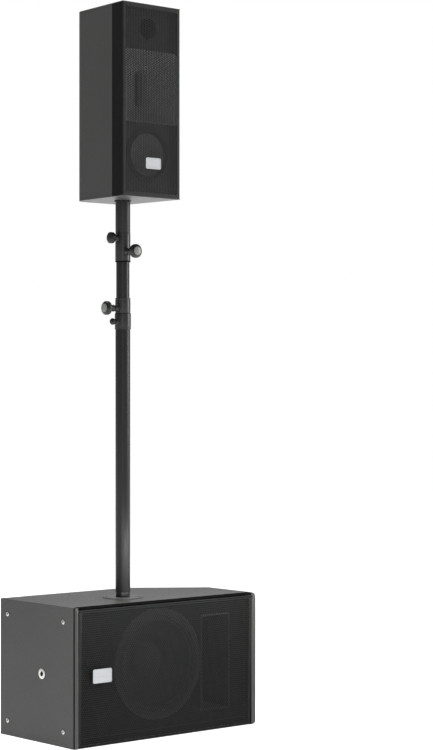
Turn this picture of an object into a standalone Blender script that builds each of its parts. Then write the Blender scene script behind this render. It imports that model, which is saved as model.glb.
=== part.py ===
"""A passive loudspeaker stack: a subwoofer, a telescopic distance pole and a two-way top cabinet.

World axes: +X is right as seen from the front, the front faces -Y, and +Z is up. The origin is the
centre of the subwoofer's footprint on the floor. All sizes are in metres and all angles in degrees
until they are used. Local profiles of turned parts run along +Z, and the part is then laid on its axis.
"""

import math

import bmesh
import bpy

CLEARANCE = 0.0003  # between pieces that touch

# Subwoofer cabinet
SUB_WIDTH = 0.540
SUB_DEPTH = 0.300
SUB_HEIGHT = 0.320
SUB_BOARD = 0.015
SUB_BAFFLE_THICKNESS = 0.018
SUB_BACK_WIDTH = 0.378  # the back's length before the cut rear corner
SUB_RIGHT_DEPTH = 0.175  # the right side's length before the cut rear corner
SUB_EDGE_RADIUS = 0.012  # rounded front corners of the side boards
SUB_FLOOR_GAP = 0.004  # the side boards stand this far below the bottom board
SUB_GRILLE_RETURN = 0.0245
SUB_GRILLE_SETBACK = 0.001  # behind the side boards' front edges
GRILLE_SHEET = 0.0015
GRILLE_BEND = 0.003

# Subwoofer driver, port and fittings
WOOFER_FROM_LEFT = 0.253
WOOFER_ABOVE_MIDDLE = 0.011
WOOFER_FRAME_RADIUS = 0.130
WOOFER_RIM = 0.004  # the frame's ring stands this proud of the baffle
WOOFER_LEDGE = 0.013  # the ring's width outside the surround
WOOFER_WALL = 0.003
WOOFER_STEP = 0.012  # depth of the basket's straight wall behind the ring
WOOFER_NECK_STEP = 0.008  # the basket's back is this much smaller than the magnet
WOOFER_BACK_GAP = 0.012  # from the cone's foot to the basket's back
WOOFER_ROLL_RADIUS = 0.008
WOOFER_RIM_DEPTH = 0.003  # from the baffle's face back to the cone's rim
WOOFER_CONE_DEPTH = 0.056
WOOFER_COIL_RADIUS = 0.033
WOOFER_COIL_PAST_GAP = 0.002  # the coil's gap starts this far inside the coil's radius
WOOFER_GAP_WIDTH = 0.005
WOOFER_MAGNET_FLOOR = 0.012
WOOFER_COIL_HOLD_OFF = 0.012  # from the coil's end to the floor of its gap
WOOFER_CAP_RADIUS = 0.046
WOOFER_CAP_RISE = 0.014
WOOFER_MAGNET_RADIUS = 0.070
WOOFER_MAGNET_HEIGHT = 0.046
WOOFER_BASKET_BORE = 0.006  # wider than the coil
SPIDER_BELOW_CONE = 0.005
SHEET_WALL = 0.001  # surrounds and spider
COIL_WALL = 0.001
CONE_WALL = 0.0015
PORT_FROM_RIGHT = 0.108
PORT_WIDTH = 0.084
PORT_HEIGHT = 0.222
PORT_WALL = 0.004
PORT_LENGTH = 0.095
SCREW_FROM_FRONT = 0.0535
SCREW_FROM_REAR = 0.028
SCREW_FROM_EDGE = 0.035
SCREW_HEAD_RADIUS = 0.0055
SCREW_HEAD_HEIGHT = 0.002
SCREW_SHANK_RADIUS = 0.0022
SCREW_LENGTH = 0.012
INSERT_FROM_FRONT = 0.135
INSERT_BELOW_MIDDLE = 0.001
INSERT_RADIUS = 0.0125
INSERT_FLANGE = 0.0012
INSERT_BARREL_RADIUS = 0.0085
INSERT_BORE_RADIUS = 0.0048
SUB_PLATE_WIDTH = 0.120
SUB_PLATE_HEIGHT = 0.090
SUB_PLATE_FROM_LEFT = 0.190
PLATE_THICKNESS = 0.002
PLATE_LAP = 0.010  # the connector plate overlaps its cut-out this far
SOCKET_SPACING = 0.040
SOCKET_RADIUS = 0.0145
SOCKET_BARREL_RADIUS = 0.0120
SOCKET_WELL_RADIUS = 0.0100
SOCKET_FLANGE = 0.002
SOCKET_DEPTH = 0.024
SOCKET_WELL_DEPTH = 0.016
PLATE_CORNER = 0.004
CROSSOVER_WIDTH = 0.110
CROSSOVER_HEIGHT = 0.070
CROSSOVER_THICKNESS = 0.024
CROSSOVER_FROM_LEFT = 0.080

# Pole
POLE_FROM_LEFT = 0.228
POLE_FROM_FRONT = 0.1235
FLANGE_RADIUS = 0.04775
FLANGE_THICKNESS = 0.002
FLANGE_CUP_RADIUS = 0.029
FLANGE_CUP_DEPTH = 0.028
FLANGE_CHAMFER = 0.001
STUD_RADIUS = 0.010
STUD_LENGTH = 0.026
STUD_RING_RADIUS = 0.0166
STUD_RING_HEIGHT = 0.0108
STUD_SPIGOT = 0.040
TUBE_RADIUS = 0.0175
TUBE_WALL = 0.0015
LOWER_TUBE_LENGTH = 0.6591
LOWER_COLLAR_WALL = 0.0014
LOWER_COLLAR_LENGTH = 0.0375
LOWER_PIN_DOWN = 0.0194  # below the lower tube's top
CLAMP_RING_LENGTH = 0.0365
CLAMP_WALL = 0.002
LOWER_CLAMP_UP = 0.0118  # above the clamp ring's bottom
MIDDLE_LENGTH = 0.815
MIDDLE_INSIDE = 0.4925  # the length inside the lower tube
MIDDLE_SHOWN = 0.1223  # between the lower tube's top and the upper collar
UPPER_COLLAR_LENGTH = 0.0676
UPPER_COLLAR_CHAMFER = 0.001
UPPER_CLAMP_UP = 0.0237  # above the upper collar's bottom
UPPER_PIN_UP = 0.0559
UPPER_TUBE_LENGTH = 0.1523
TUBE_IN_TOP = 0.075  # the upper tube's length inside the top cabinet
CLAMP_STUD_RADIUS = 0.004
CLAMP_STUD_IN_KNOB = 0.015
CLAMP_BOSS_RADIUS = 0.0075
CLAMP_BOSS_REACH = 0.0085  # beyond the clamp's wall
KNOB_GAP = 0.0025  # between the boss and the knob
KNOB_LENGTH = 0.028
KNOB_RADIUS = 0.0165
KNOB_FACE_RADIUS = 0.0125
KNOB_NECK_RADIUS = 0.0075
PIN_RADIUS = 0.003
PIN_CHAMFER = 0.001
PIN_BOSS_RADIUS = 0.0065
PIN_HEAD_GAP = 0.0008
LOWER_PIN = (0.0058, 0.0078, 0.0102)  # the boss's reach, then the head's radius and length
UPPER_PIN = (0.0090, 0.0135, 0.0135)
BOSS_ROOT = 0.0007  # how deep a boss starts inside its collar's wall
WASHER_THICKNESS = 0.002
WASHER_SPIGOT = 0.012
WASHER_EDGE = 0.0005  # the washer is this much smaller than the tube

# Top cabinet
TOP_WIDTH = 0.172
TOP_BACK_WIDTH = 0.148
TOP_DEPTH = 0.200
TOP_HEIGHT = 0.449
TOP_POLE_FROM_FRONT = 0.1093
TOP_END_PLATE = 0.006
TOP_WALL = 0.010
TOP_REAR_RADIUS = 0.030
TOP_GRILLE_WRAP = 0.044
TOP_BAFFLE_FRONT = 0.015
TOP_BAFFLE_THICKNESS = 0.012
SOCKET_CUP_GAP = 0.0005
SOCKET_CUP_WALL = 0.002
SOCKET_CUP_FLANGE_RADIUS = 0.032
SOCKET_CUP_FLANGE = 0.0025
SOCKET_CUP_LIP = 0.0005  # below the base plate

# Top cabinet's horn, driver and fittings
HORN_FROM_BOTTOM = 0.2575
HORN_MOUTH = (0.0795, 0.0825)  # half width and half height inside
HORN_THROAT = (0.0120, 0.0395)
HORN_FRONT = 0.0035
HORN_BACK = 0.050
HORN_WALL = 0.002
HORN_FLARE = 1.12
HORN_FLANGE = (0.032, 0.0475)
HORN_FLANGE_THICKNESS = 0.004
HORN_CORNER = 0.012
HORN_SECTIONS = 5
HORN_CUTOUT_GAP = 0.001
MOTOR_RADIUS = 0.040
MOTOR_LENGTH = 0.044
MOTOR_EXIT_RADIUS = 0.011
MOTOR_EXIT_DEPTH = 0.020
MOTOR_NECK_RADIUS = 0.024
MOTOR_NECK_LENGTH = 0.010
MOTOR_CHAMFER = 0.002
TOP_WOOFER_FROM_BOTTOM = 0.101
TOP_WOOFER_RADIUS = 0.0645
TOP_WOOFER_RIM = 0.003
TOP_WOOFER_LEDGE = 0.007
TOP_WOOFER_WALL = 0.002
TOP_WOOFER_STEP = 0.008
TOP_WOOFER_BACK_GAP = 0.008
TOP_RIM_DEPTH = 0.002
TOP_ROLL_RADIUS = 0.004
TOP_CONE_DEPTH = 0.026
TOP_CAP_RADIUS = 0.020
TOP_CAP_SEAT = 0.008
TOP_CAP_RISE = 0.006
TOP_MAGNET_RADIUS = 0.036
TOP_MAGNET_HEIGHT = 0.020
TOP_COIL_RADIUS = 0.0125
TOP_GAP_HALF = 0.0015  # the coil's gap, each way from the coil's radius
TOP_GAP_DEPTH = 0.010
TOP_COIL_IN_GAP = 0.006
TOP_PORT_RADIUS = 0.025
TOP_PORT_FROM_TOP = 0.054
TOP_PLATE_WIDTH = 0.060
TOP_PLATE_HEIGHT = 0.090
TOP_PLATE_FROM_BOTTOM = 0.140
TOP_GRILLE_SETBACK = 0.0005

# Badges: plain plates on the grilles
BADGE_THICKNESS = 0.001
BADGE_CORNER = 0.004
SUB_BADGE = (0.0715, 0.002, 0.054, 0.032)  # from the left, above the middle, width, height
TOP_BADGE = (0.004, 0.0795, 0.045, 0.026)  # right of the centre, from the bottom, width, height

# Facets round a full turn
FINE = 36
MEDIUM = 24
COARSE = 16
REAR_STEPS = 8  # each rear corner of the top cabinet
TINY = 12

# Places that follow from the sizes
LEFT = -SUB_WIDTH / 2
REAR_PROUD = 2 * CLEARANCE + PLATE_THICKNESS + SOCKET_FLANGE
FRONT = -(SUB_DEPTH + REAR_PROUD) / 2
REAR = FRONT + SUB_DEPTH
INNER_LEFT = LEFT + SUB_BOARD + CLEARANCE
INNER_RIGHT = -INNER_LEFT
MIDDLE_HEIGHT = SUB_HEIGHT / 2
WOOFER_HEIGHT = MIDDLE_HEIGHT + WOOFER_ABOVE_MIDDLE
INSERT_HEIGHT = MIDDLE_HEIGHT - INSERT_BELOW_MIDDLE
PORT_X = SUB_WIDTH / 2 - PORT_FROM_RIGHT
BOTTOM_TOP = SUB_FLOOR_GAP + SUB_BOARD
TOP_UNDERSIDE = SUB_HEIGHT - SUB_BOARD
BOARDS_FRONT = FRONT + SUB_GRILLE_RETURN + CLEARANCE
CUT_START = LEFT + SUB_BACK_WIDTH
CUT_SLOPE = (SUB_RIGHT_DEPTH - SUB_DEPTH) / (SUB_WIDTH - SUB_BACK_WIDTH)
CUT_STRETCH = math.hypot(1, CUT_SLOPE)
POLE_X = LEFT + POLE_FROM_LEFT
POLE_Y = FRONT + POLE_FROM_FRONT
MIDDLE_RADIUS = TUBE_RADIUS - TUBE_WALL - CLEARANCE
CLAMP_BORE = MIDDLE_RADIUS + CLEARANCE
CLAMP_RADIUS = CLAMP_BORE + CLAMP_WALL
CLAMP_BOSS_END = CLAMP_RADIUS + CLAMP_BOSS_REACH
KNOB_START = CLAMP_BOSS_END + KNOB_GAP
KNOB_END = KNOB_START + KNOB_LENGTH
CLAMP_STUD_END = KNOB_START + CLAMP_STUD_IN_KNOB
COLLAR_BORE = TUBE_RADIUS + CLEARANCE
LOWER_COLLAR_RADIUS = COLLAR_BORE + LOWER_COLLAR_WALL
STUD_BASE = SUB_HEIGHT + FLANGE_THICKNESS + CLEARANCE
LOWER_TUBE_BOTTOM = STUD_BASE + STUD_RING_HEIGHT + CLEARANCE
LOWER_TUBE_TOP = LOWER_TUBE_BOTTOM + LOWER_TUBE_LENGTH
LOWER_PIN_HEIGHT = LOWER_TUBE_TOP - LOWER_PIN_DOWN
CLAMP_RING_BOTTOM = LOWER_TUBE_TOP + CLEARANCE
LOWER_CLAMP_HEIGHT = CLAMP_RING_BOTTOM + LOWER_CLAMP_UP
MIDDLE_BOTTOM = LOWER_TUBE_TOP - MIDDLE_INSIDE
MIDDLE_TOP = MIDDLE_BOTTOM + MIDDLE_LENGTH
UPPER_COLLAR_BOTTOM = LOWER_TUBE_TOP + MIDDLE_SHOWN
UPPER_CLAMP_HEIGHT = UPPER_COLLAR_BOTTOM + UPPER_CLAMP_UP
UPPER_PIN_HEIGHT = UPPER_COLLAR_BOTTOM + UPPER_PIN_UP
UPPER_TUBE_BOTTOM = UPPER_COLLAR_BOTTOM + UPPER_COLLAR_LENGTH + CLEARANCE
UPPER_TUBE_TOP = UPPER_TUBE_BOTTOM + UPPER_TUBE_LENGTH
WASHER_BASE = UPPER_TUBE_TOP + CLEARANCE
TOP_BOTTOM = UPPER_TUBE_TOP - TUBE_IN_TOP
TOP_TOP = TOP_BOTTOM + TOP_HEIGHT
HORN_CENTRE_HEIGHT = TOP_BOTTOM + HORN_FROM_BOTTOM
TOP_WOOFER_HEIGHT = TOP_BOTTOM + TOP_WOOFER_FROM_BOTTOM
TOP_PORT_HEIGHT = TOP_TOP - TOP_PORT_FROM_TOP
TOP_PLATE_CENTRE_HEIGHT = TOP_BOTTOM + TOP_PLATE_FROM_BOTTOM
TOP_FRONT = POLE_Y - TOP_POLE_FROM_FRONT
GRILLE_STEP = GRILLE_SHEET + CLEARANCE

# Looks: colour, roughness, metallic
FINISHES = {
    "lacquer": ((0.090, 0.094, 0.090), 0.62, 0.0),
    "grille": ((0.020, 0.021, 0.020), 0.45, 0.6),
    "casting": ((0.030, 0.030, 0.032), 0.50, 0.7),
    "ferrite": ((0.060, 0.060, 0.062), 0.60, 0.3),
    "paper": ((0.025, 0.025, 0.027), 0.85, 0.0),
    "rubber": ((0.018, 0.018, 0.018), 0.70, 0.0),
    "cloth": ((0.500, 0.330, 0.120), 0.90, 0.0),
    "copper": ((0.550, 0.250, 0.120), 0.35, 1.0),
    "plastic": ((0.025, 0.025, 0.027), 0.40, 0.0),
    "tube": ((0.035, 0.037, 0.036), 0.40, 0.4),
    "steel": ((0.550, 0.550, 0.560), 0.30, 1.0),
    "badge": ((0.620, 0.640, 0.660), 0.30, 0.9),
    "circuit": ((0.040, 0.130, 0.060), 0.50, 0.0),
}


def clear_scene():
    for obj in list(bpy.data.objects):
        bpy.data.objects.remove(obj, do_unlink=True)


def new_collection(name):
    group = bpy.data.collections.new(name)
    bpy.context.scene.collection.children.link(group)
    return group


clear_scene()
PARTS = new_collection("pa_speaker")
CUTTERS = new_collection("cutters")
CUTTERS.hide_render = True


def finish_of(name, kind):
    colour, roughness, metallic = FINISHES[kind]
    look = bpy.data.materials.new(f"{name}_{kind}")
    look.use_nodes = True
    shader = look.node_tree.nodes["Principled BSDF"]
    shader.inputs["Base Color"].default_value = (*colour, 1)
    shader.inputs["Roughness"].default_value = roughness
    shader.inputs["Metallic"].default_value = metallic
    return look


def place(obj, at, turn=(0, 0, 0), parent=None):
    """Puts an object at a world place, also under a parent, which only moves and never turns."""
    base = parent.location if parent else (0, 0, 0)
    obj.parent = parent
    obj.location = [at[axis] - base[axis] for axis in range(3)]
    obj.rotation_euler = [math.radians(angle) for angle in turn]


def add_part(name, mesh, kind, at, turn=(0, 0, 0), parent=None):
    obj = bpy.data.objects.new(name, mesh)
    PARTS.objects.link(obj)
    mesh.materials.append(finish_of(name, kind))
    place(obj, at, turn, parent)
    return obj


def add_cutter(name, mesh, at, turn=(0, 0, 0)):
    obj = bpy.data.objects.new(name, mesh)
    CUTTERS.objects.link(obj)
    obj.hide_render = True
    obj.display_type = "WIRE"
    place(obj, at, turn)
    return obj


def combine(target, tool, operation):
    step = target.modifiers.new(f"{operation.lower()}_{tool.name}", "BOOLEAN")
    step.operation = operation
    step.solver = "EXACT"
    step.object = tool


def joint_axis(name, at):
    """An empty on a joint's axis, which carries the pieces that move with the joint."""
    empty = bpy.data.objects.new(name, None)
    PARTS.objects.link(empty)
    empty.location = at
    empty.empty_display_size = 0.02
    return empty


def box_mesh(name, size):
    mesh = bpy.data.meshes.new(name)
    cage = bmesh.new()
    bmesh.ops.create_cube(cage, size=1)
    bmesh.ops.scale(cage, vec=size, verts=cage.verts)
    cage.to_mesh(mesh)
    cage.free()
    return mesh


def rod_mesh(name, radius, start, end, facets):
    """A cylinder along +Z from start to end."""
    mesh = bpy.data.meshes.new(name)
    cage = bmesh.new()
    bmesh.ops.create_cone(
        cage, cap_ends=True, segments=facets, radius1=radius, radius2=radius, depth=end - start
    )
    bmesh.ops.translate(cage, vec=(0, 0, (start + end) / 2), verts=cage.verts)
    cage.to_mesh(mesh)
    cage.free()
    return mesh


def turn_profile(obj, facets):
    """Turns the profile in the local XZ plane about +Z."""
    lathe = obj.modifiers.new("lathe", "SCREW")
    lathe.axis = "Z"
    lathe.angle = 2 * math.pi
    lathe.steps = facets
    lathe.render_steps = facets
    lathe.use_merge_vertices = True
    lathe.merge_threshold = 0.00001
    lathe.use_smooth_shade = True


def profile_mesh(name, profile):
    """A chain of points (radius, height), closed into a loop unless it starts and ends on the axis."""
    mesh = bpy.data.meshes.new(name)
    points = [(radius, 0, height) for radius, height in profile]
    edges = [(k, k + 1) for k in range(len(points) - 1)]
    if profile[0][0] > 0:
        edges.append((len(points) - 1, 0))
    mesh.from_pydata(points, edges, [])
    return mesh


def turned(name, profile, kind, at, turn=(0, 0, 0), parent=None, facets=MEDIUM):
    obj = add_part(name, profile_mesh(name, profile), kind, at, turn, parent)
    turn_profile(obj, facets)
    return obj


def sleeve(name, radius, bore, start, end, kind, parent, facets=MEDIUM, chamfer=0):
    """A tube round the pole's axis, between two world heights."""
    height = end - start
    if chamfer:
        lip = [(radius - chamfer, height), (radius, height - chamfer), (radius, chamfer), (radius - chamfer, 0)]
    else:
        lip = [(radius, height), (radius, 0)]
    profile = [*lip, (bore, 0), (bore, height)]
    return turned(name, profile, kind, (POLE_X, POLE_Y, start), parent=parent, facets=facets)


def outline_mesh(name, loops, thickness):
    """A flat board from closed outlines in the local XY plane; the loops after the first are holes."""
    curve = bpy.data.curves.new(name, "CURVE")
    curve.dimensions = "2D"
    curve.fill_mode = "BOTH"
    curve.extrude = thickness / 2
    for loop in loops:
        spline = curve.splines.new("POLY")
        spline.points.add(len(loop) - 1)
        for point, (x, y) in zip(spline.points, loop):
            point.co = (x, y, 0, 1)
        spline.use_cyclic_u = True
    guide = bpy.data.objects.new(f"{name}_outline", curve)
    bpy.context.scene.collection.objects.link(guide)
    seen = guide.evaluated_get(bpy.context.evaluated_depsgraph_get())
    mesh = bpy.data.meshes.new_from_object(seen)
    bpy.data.objects.remove(guide)
    cage = bmesh.new()
    cage.from_mesh(mesh)
    bmesh.ops.remove_doubles(cage, verts=cage.verts, dist=0.00001)
    cage.to_mesh(mesh)
    cage.free()
    return mesh


# How a board's outline lies in the world: its two coordinates are named first, its thickness last
ACROSS_FRONT = (90, 0, 0)  # X and Z; local +Z points to the front, -Y
ALONG_SIDE = (90, 0, 90)  # Y and Z; local +Z points to the right, +X
TO_LEFT = (0, -90, 0)  # local +Z points to -X
TO_RIGHT = (0, 90, 0)
TO_FRONT = (90, 0, 0)
TO_REAR = (-90, 0, 0)


def arc(centre, radius, start, end, steps):
    angles = [math.radians(start + (end - start) * k / steps) for k in range(steps + 1)]
    return [(centre[0] + radius * math.cos(a), centre[1] + radius * math.sin(a)) for a in angles]


def circle(centre, radius, facets):
    return arc(centre, radius, 0, 360 - 360 / facets, facets - 1)


def rectangle(centre, width, height):
    x, y = width / 2, height / 2
    return [(centre[0] + sx * x, centre[1] + sy * y) for sx, sy in ((-1, -1), (1, -1), (1, 1), (-1, 1))]


def rounded_rectangle(centre, width, height, radius, steps):
    x, y = width / 2 - radius, height / 2 - radius
    corners = ((1, 1, 0), (-1, 1, 90), (-1, -1, 180), (1, -1, 270))
    points = []
    for sx, sy, start in corners:
        points += arc((centre[0] + sx * x, centre[1] + sy * y), radius, start, start + 90, steps)
    return points


# ---------------------------------------------------------------- subwoofer cabinet


def cut_line(x):
    """The outer line of the cut rear corner, as Y at X."""
    return REAR + (x - CUT_START) * CUT_SLOPE


def side_outline(rear):
    """A side board in Y and Z, with rounded front corners."""
    radius = SUB_EDGE_RADIUS
    lower = arc((FRONT + radius, radius), radius, 270, 180, 4)
    upper = arc((FRONT + radius, SUB_HEIGHT - radius), radius, 180, 90, 4)
    return [(rear, 0), *lower, *upper, (rear, SUB_HEIGHT)]


def screw_places(rear):
    rows = (SCREW_FROM_EDGE, SUB_HEIGHT - SCREW_FROM_EDGE)
    columns = (FRONT + SCREW_FROM_FRONT, rear - SCREW_FROM_REAR)
    return [(y, z) for z in rows for y in columns]


def side_board(name, side, rear):
    """side is -1 for the left board and 1 for the right one; rear is where its outer face ends."""
    raw_rear = rear if side < 0 else REAR  # the right board is sawn along the cut corner below
    holes = [circle(place_of, SCREW_SHANK_RADIUS + CLEARANCE, TINY) for place_of in screw_places(rear)]
    holes.append(circle((FRONT + INSERT_FROM_FRONT, INSERT_HEIGHT), INSERT_BARREL_RADIUS + CLEARANCE, COARSE))
    mesh = outline_mesh(name, [side_outline(raw_rear), *holes], SUB_BOARD)
    at = (side * (SUB_WIDTH - SUB_BOARD) / 2, 0, 0)
    board = add_part(name, mesh, "lacquer", at, ALONG_SIDE)
    if side > 0:
        angle = math.degrees(math.atan(CUT_SLOPE))
        block = SUB_DEPTH
        reach = block / 2
        middle = (SUB_WIDTH / 2 - reach * math.sin(math.radians(angle)), rear + reach / CUT_STRETCH)
        mesh = box_mesh("mitre", (block, block, 3 * SUB_HEIGHT))
        mitre = add_cutter("mitre", mesh, (*middle, 0), (0, 0, angle))
        combine(board, mitre, "DIFFERENCE")
    return board


def side_fittings(label, side, rear):
    """The board's screws and the threaded insert for a yoke."""
    turn = TO_LEFT if side < 0 else TO_RIGHT
    face = side * SUB_WIDTH / 2
    head = SCREW_HEAD_RADIUS
    top = SCREW_HEAD_HEIGHT
    screw = [
        (0, top), (head * 0.6, top), (head * 0.9, top * 0.7), (head, CLEARANCE),
        (SCREW_SHANK_RADIUS, CLEARANCE), (SCREW_SHANK_RADIUS, -SCREW_LENGTH), (0, -SCREW_LENGTH),
    ]
    for number, (y, z) in enumerate(screw_places(rear), 1):
        turned(f"screw_{label}_{number}", screw, "steel", (face, y, z), turn, facets=TINY)
    insert = [
        (INSERT_RADIUS, INSERT_FLANGE), (INSERT_RADIUS, CLEARANCE), (INSERT_BARREL_RADIUS, CLEARANCE),
        (INSERT_BARREL_RADIUS, CLEARANCE - SUB_BOARD), (INSERT_BORE_RADIUS, CLEARANCE - SUB_BOARD),
        (INSERT_BORE_RADIUS, INSERT_FLANGE),
    ]
    at = (face, FRONT + INSERT_FROM_FRONT, INSERT_HEIGHT)
    turned(f"yoke_insert_{label}", insert, "steel", at, turn, facets=COARSE)


def cover_outline():
    """The top and bottom boards in X and Y, between the side boards."""
    return [
        (INNER_LEFT, BOARDS_FRONT), (INNER_RIGHT, BOARDS_FRONT), (INNER_RIGHT, cut_line(INNER_RIGHT)),
        (CUT_START, REAR), (INNER_LEFT, REAR),
    ]


def sub_boards():
    cup_hole = circle((POLE_X, POLE_Y), FLANGE_CUP_RADIUS + CLEARANCE, MEDIUM)
    top = outline_mesh("sub_top_board", [cover_outline(), cup_hole], SUB_BOARD)
    add_part("sub_top_board", top, "lacquer", (0, 0, SUB_HEIGHT - SUB_BOARD / 2))
    bottom = outline_mesh("sub_bottom_board", [cover_outline()], SUB_BOARD)
    add_part("sub_bottom_board", bottom, "lacquer", (0, 0, SUB_FLOOR_GAP + SUB_BOARD / 2))

    low, high = BOTTOM_TOP + CLEARANCE, TOP_UNDERSIDE - CLEARANCE
    middle, height = (low + high) / 2, high - low
    corner = CUT_START + SUB_BOARD * (CUT_STRETCH - 1) / CUT_SLOPE
    back_width = corner - CLEARANCE - INNER_LEFT
    back_centre = INNER_LEFT + back_width / 2
    hole = rectangle(
        (LEFT + SUB_PLATE_FROM_LEFT, MIDDLE_HEIGHT),
        SUB_PLATE_WIDTH - 2 * PLATE_LAP, SUB_PLATE_HEIGHT - 2 * PLATE_LAP,
    )
    back = outline_mesh(
        "sub_back_board", [rectangle((back_centre, middle), back_width, height), hole], SUB_BOARD
    )
    add_part("sub_back_board", back, "lacquer", (0, REAR - SUB_BOARD / 2, 0), ACROSS_FRONT)

    angled = [
        (corner, REAR - SUB_BOARD), (INNER_RIGHT, cut_line(INNER_RIGHT) - SUB_BOARD * CUT_STRETCH),
        (INNER_RIGHT, cut_line(INNER_RIGHT)), (CUT_START, REAR), (corner, REAR),
    ]
    mesh = outline_mesh("sub_angled_board", [angled], height)
    add_part("sub_angled_board", mesh, "lacquer", (0, 0, middle))

    opening = WOOFER_FRAME_RADIUS - WOOFER_LEDGE
    holes = [
        circle((LEFT + WOOFER_FROM_LEFT, WOOFER_HEIGHT), opening + CLEARANCE, FINE),
        rectangle(
            (PORT_X, MIDDLE_HEIGHT),
            PORT_WIDTH + 2 * (PORT_WALL + CLEARANCE), PORT_HEIGHT + 2 * (PORT_WALL + CLEARANCE),
        ),
    ]
    panel = rectangle((0, middle), INNER_RIGHT - INNER_LEFT, height)
    baffle = outline_mesh("sub_baffle", [panel, *holes], SUB_BAFFLE_THICKNESS)
    add_part("sub_baffle", baffle, "lacquer", (0, BOARDS_FRONT + SUB_BAFFLE_THICKNESS / 2, 0), ACROSS_FRONT)


def sub_grille():
    """A sheet bent back over the top and the bottom, in Y and Z."""
    face = FRONT + SUB_GRILLE_SETBACK
    back = FRONT + SUB_GRILLE_RETURN
    low, high = SUB_FLOOR_GAP, SUB_HEIGHT
    outer, inner = GRILLE_BEND, GRILLE_BEND - GRILLE_SHEET
    centre = face + outer
    outline = [
        (back, low), *arc((centre, low + outer), outer, 270, 180, 3),
        *arc((centre, high - outer), outer, 180, 90, 3), (back, high),
        (back, high - GRILLE_SHEET), *arc((centre, high - outer), inner, 90, 180, 3),
        *arc((centre, low + outer), inner, 180, 270, 3), (back, low + GRILLE_SHEET),
    ]
    mesh = outline_mesh("sub_grille", [outline], INNER_RIGHT - INNER_LEFT)
    add_part("sub_grille", mesh, "grille", (0, 0, 0), ALONG_SIDE)


def port_duct():
    width, height = PORT_WIDTH + 2 * PORT_WALL, PORT_HEIGHT + 2 * PORT_WALL
    loops = [rectangle((0, 0), width, height), rectangle((0, 0), PORT_WIDTH, PORT_HEIGHT)]
    mesh = outline_mesh("sub_port_duct", loops, PORT_LENGTH)
    at = (PORT_X, BOARDS_FRONT + PORT_LENGTH / 2, MIDDLE_HEIGHT)
    add_part("sub_port_duct", mesh, "plastic", at, ACROSS_FRONT)


# ---------------------------------------------------------------- subwoofer driver


def roll_profile(inner, outer, base, wall, steps):
    """A half-roll surround between two radii: an arch of one wall thickness."""
    middle, radius = (inner + outer) / 2, (outer - inner) / 2
    outside = arc((middle, base), radius, 180, 0, steps)
    inside = arc((middle, base), radius - wall, 0, 180, steps)
    return [*outside, *inside]


def sub_driver():
    """Local +Z points to the front and is 0 on the baffle's front face."""
    at = (LEFT + WOOFER_FROM_LEFT, BOARDS_FRONT, WOOFER_HEIGHT)
    opening = WOOFER_FRAME_RADIUS - WOOFER_LEDGE
    neck = WOOFER_MAGNET_RADIUS - WOOFER_NECK_STEP
    foot = -WOOFER_CONE_DEPTH
    back = foot - WOOFER_BACK_GAP
    coil = WOOFER_COIL_RADIUS
    wall = WOOFER_WALL
    frame = [
        (WOOFER_FRAME_RADIUS, WOOFER_RIM), (WOOFER_FRAME_RADIUS, CLEARANCE), (opening, CLEARANCE),
        (opening, -WOOFER_STEP), (neck, back), (coil + WOOFER_BASKET_BORE, back),
        (coil + WOOFER_BASKET_BORE, back + wall), (neck - wall, back + wall),
        (opening - wall, -WOOFER_STEP), (opening - wall, WOOFER_RIM),
    ]
    turned("woofer_frame", frame, "casting", at, TO_FRONT, facets=FINE)

    top = back - CLEARANCE
    bottom = top - WOOFER_MAGNET_HEIGHT
    gap_floor = bottom + WOOFER_MAGNET_FLOOR
    gap_inner = coil - WOOFER_COIL_PAST_GAP
    gap_outer = gap_inner + WOOFER_GAP_WIDTH
    magnet = [
        (0, top), (gap_inner, top), (gap_inner, gap_floor), (gap_outer, gap_floor),
        (gap_outer, top), (WOOFER_MAGNET_RADIUS, top), (WOOFER_MAGNET_RADIUS, bottom), (0, bottom),
    ]
    turned("woofer_magnet", magnet, "ferrite", at, TO_FRONT, facets=MEDIUM)

    moving = joint_axis("woofer_axis", at)
    edge = opening - 2 * WOOFER_ROLL_RADIUS
    rim = -WOOFER_RIM_DEPTH
    outer, throat = edge - CLEARANCE, coil + COIL_WALL + CLEARANCE
    cone = [(outer, rim), (outer, rim - CONE_WALL), (throat, foot - CONE_WALL), (throat, foot)]
    turned("woofer_cone", cone, "paper", at, TO_FRONT, moving, FINE)
    coil_end = gap_floor + WOOFER_COIL_HOLD_OFF
    start = foot + COIL_WALL
    former = [(coil + COIL_WALL, start), (coil + COIL_WALL, coil_end), (coil, coil_end), (coil, start)]
    turned("woofer_voice_coil", former, "copper", at, TO_FRONT, moving, MEDIUM)
    sphere = (WOOFER_CAP_RADIUS**2 + WOOFER_CAP_RISE**2) / (2 * WOOFER_CAP_RISE)
    sweep = math.degrees(math.asin(WOOFER_CAP_RADIUS / sphere))
    seat = foot + (rim - foot) * (WOOFER_CAP_RADIUS - throat) / (outer - throat)
    centre = (0, seat + CONE_WALL + WOOFER_CAP_RISE - sphere)
    dome = arc(centre, sphere, 90, 90 - sweep, 4)
    under = arc(centre, sphere - CONE_WALL, 90 - sweep, 90, 4)
    turned("woofer_dust_cap", [*dome, *under], "paper", at, TO_FRONT, moving, MEDIUM)

    roll = roll_profile(edge + CLEARANCE, opening - wall - CLEARANCE, rim + SHEET_WALL, SHEET_WALL, 5)
    turned("woofer_surround", roll, "rubber", at, TO_FRONT, facets=FINE)
    low = foot - SPIDER_BELOW_CONE
    inner, outer = throat, neck - wall - SHEET_WALL
    spider = [(outer, low + SHEET_WALL), (outer, low), (inner, low), (inner, low + SHEET_WALL)]
    turned("woofer_spider", spider, "cloth", at, TO_FRONT, facets=MEDIUM)


# ---------------------------------------------------------------- connectors


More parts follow.
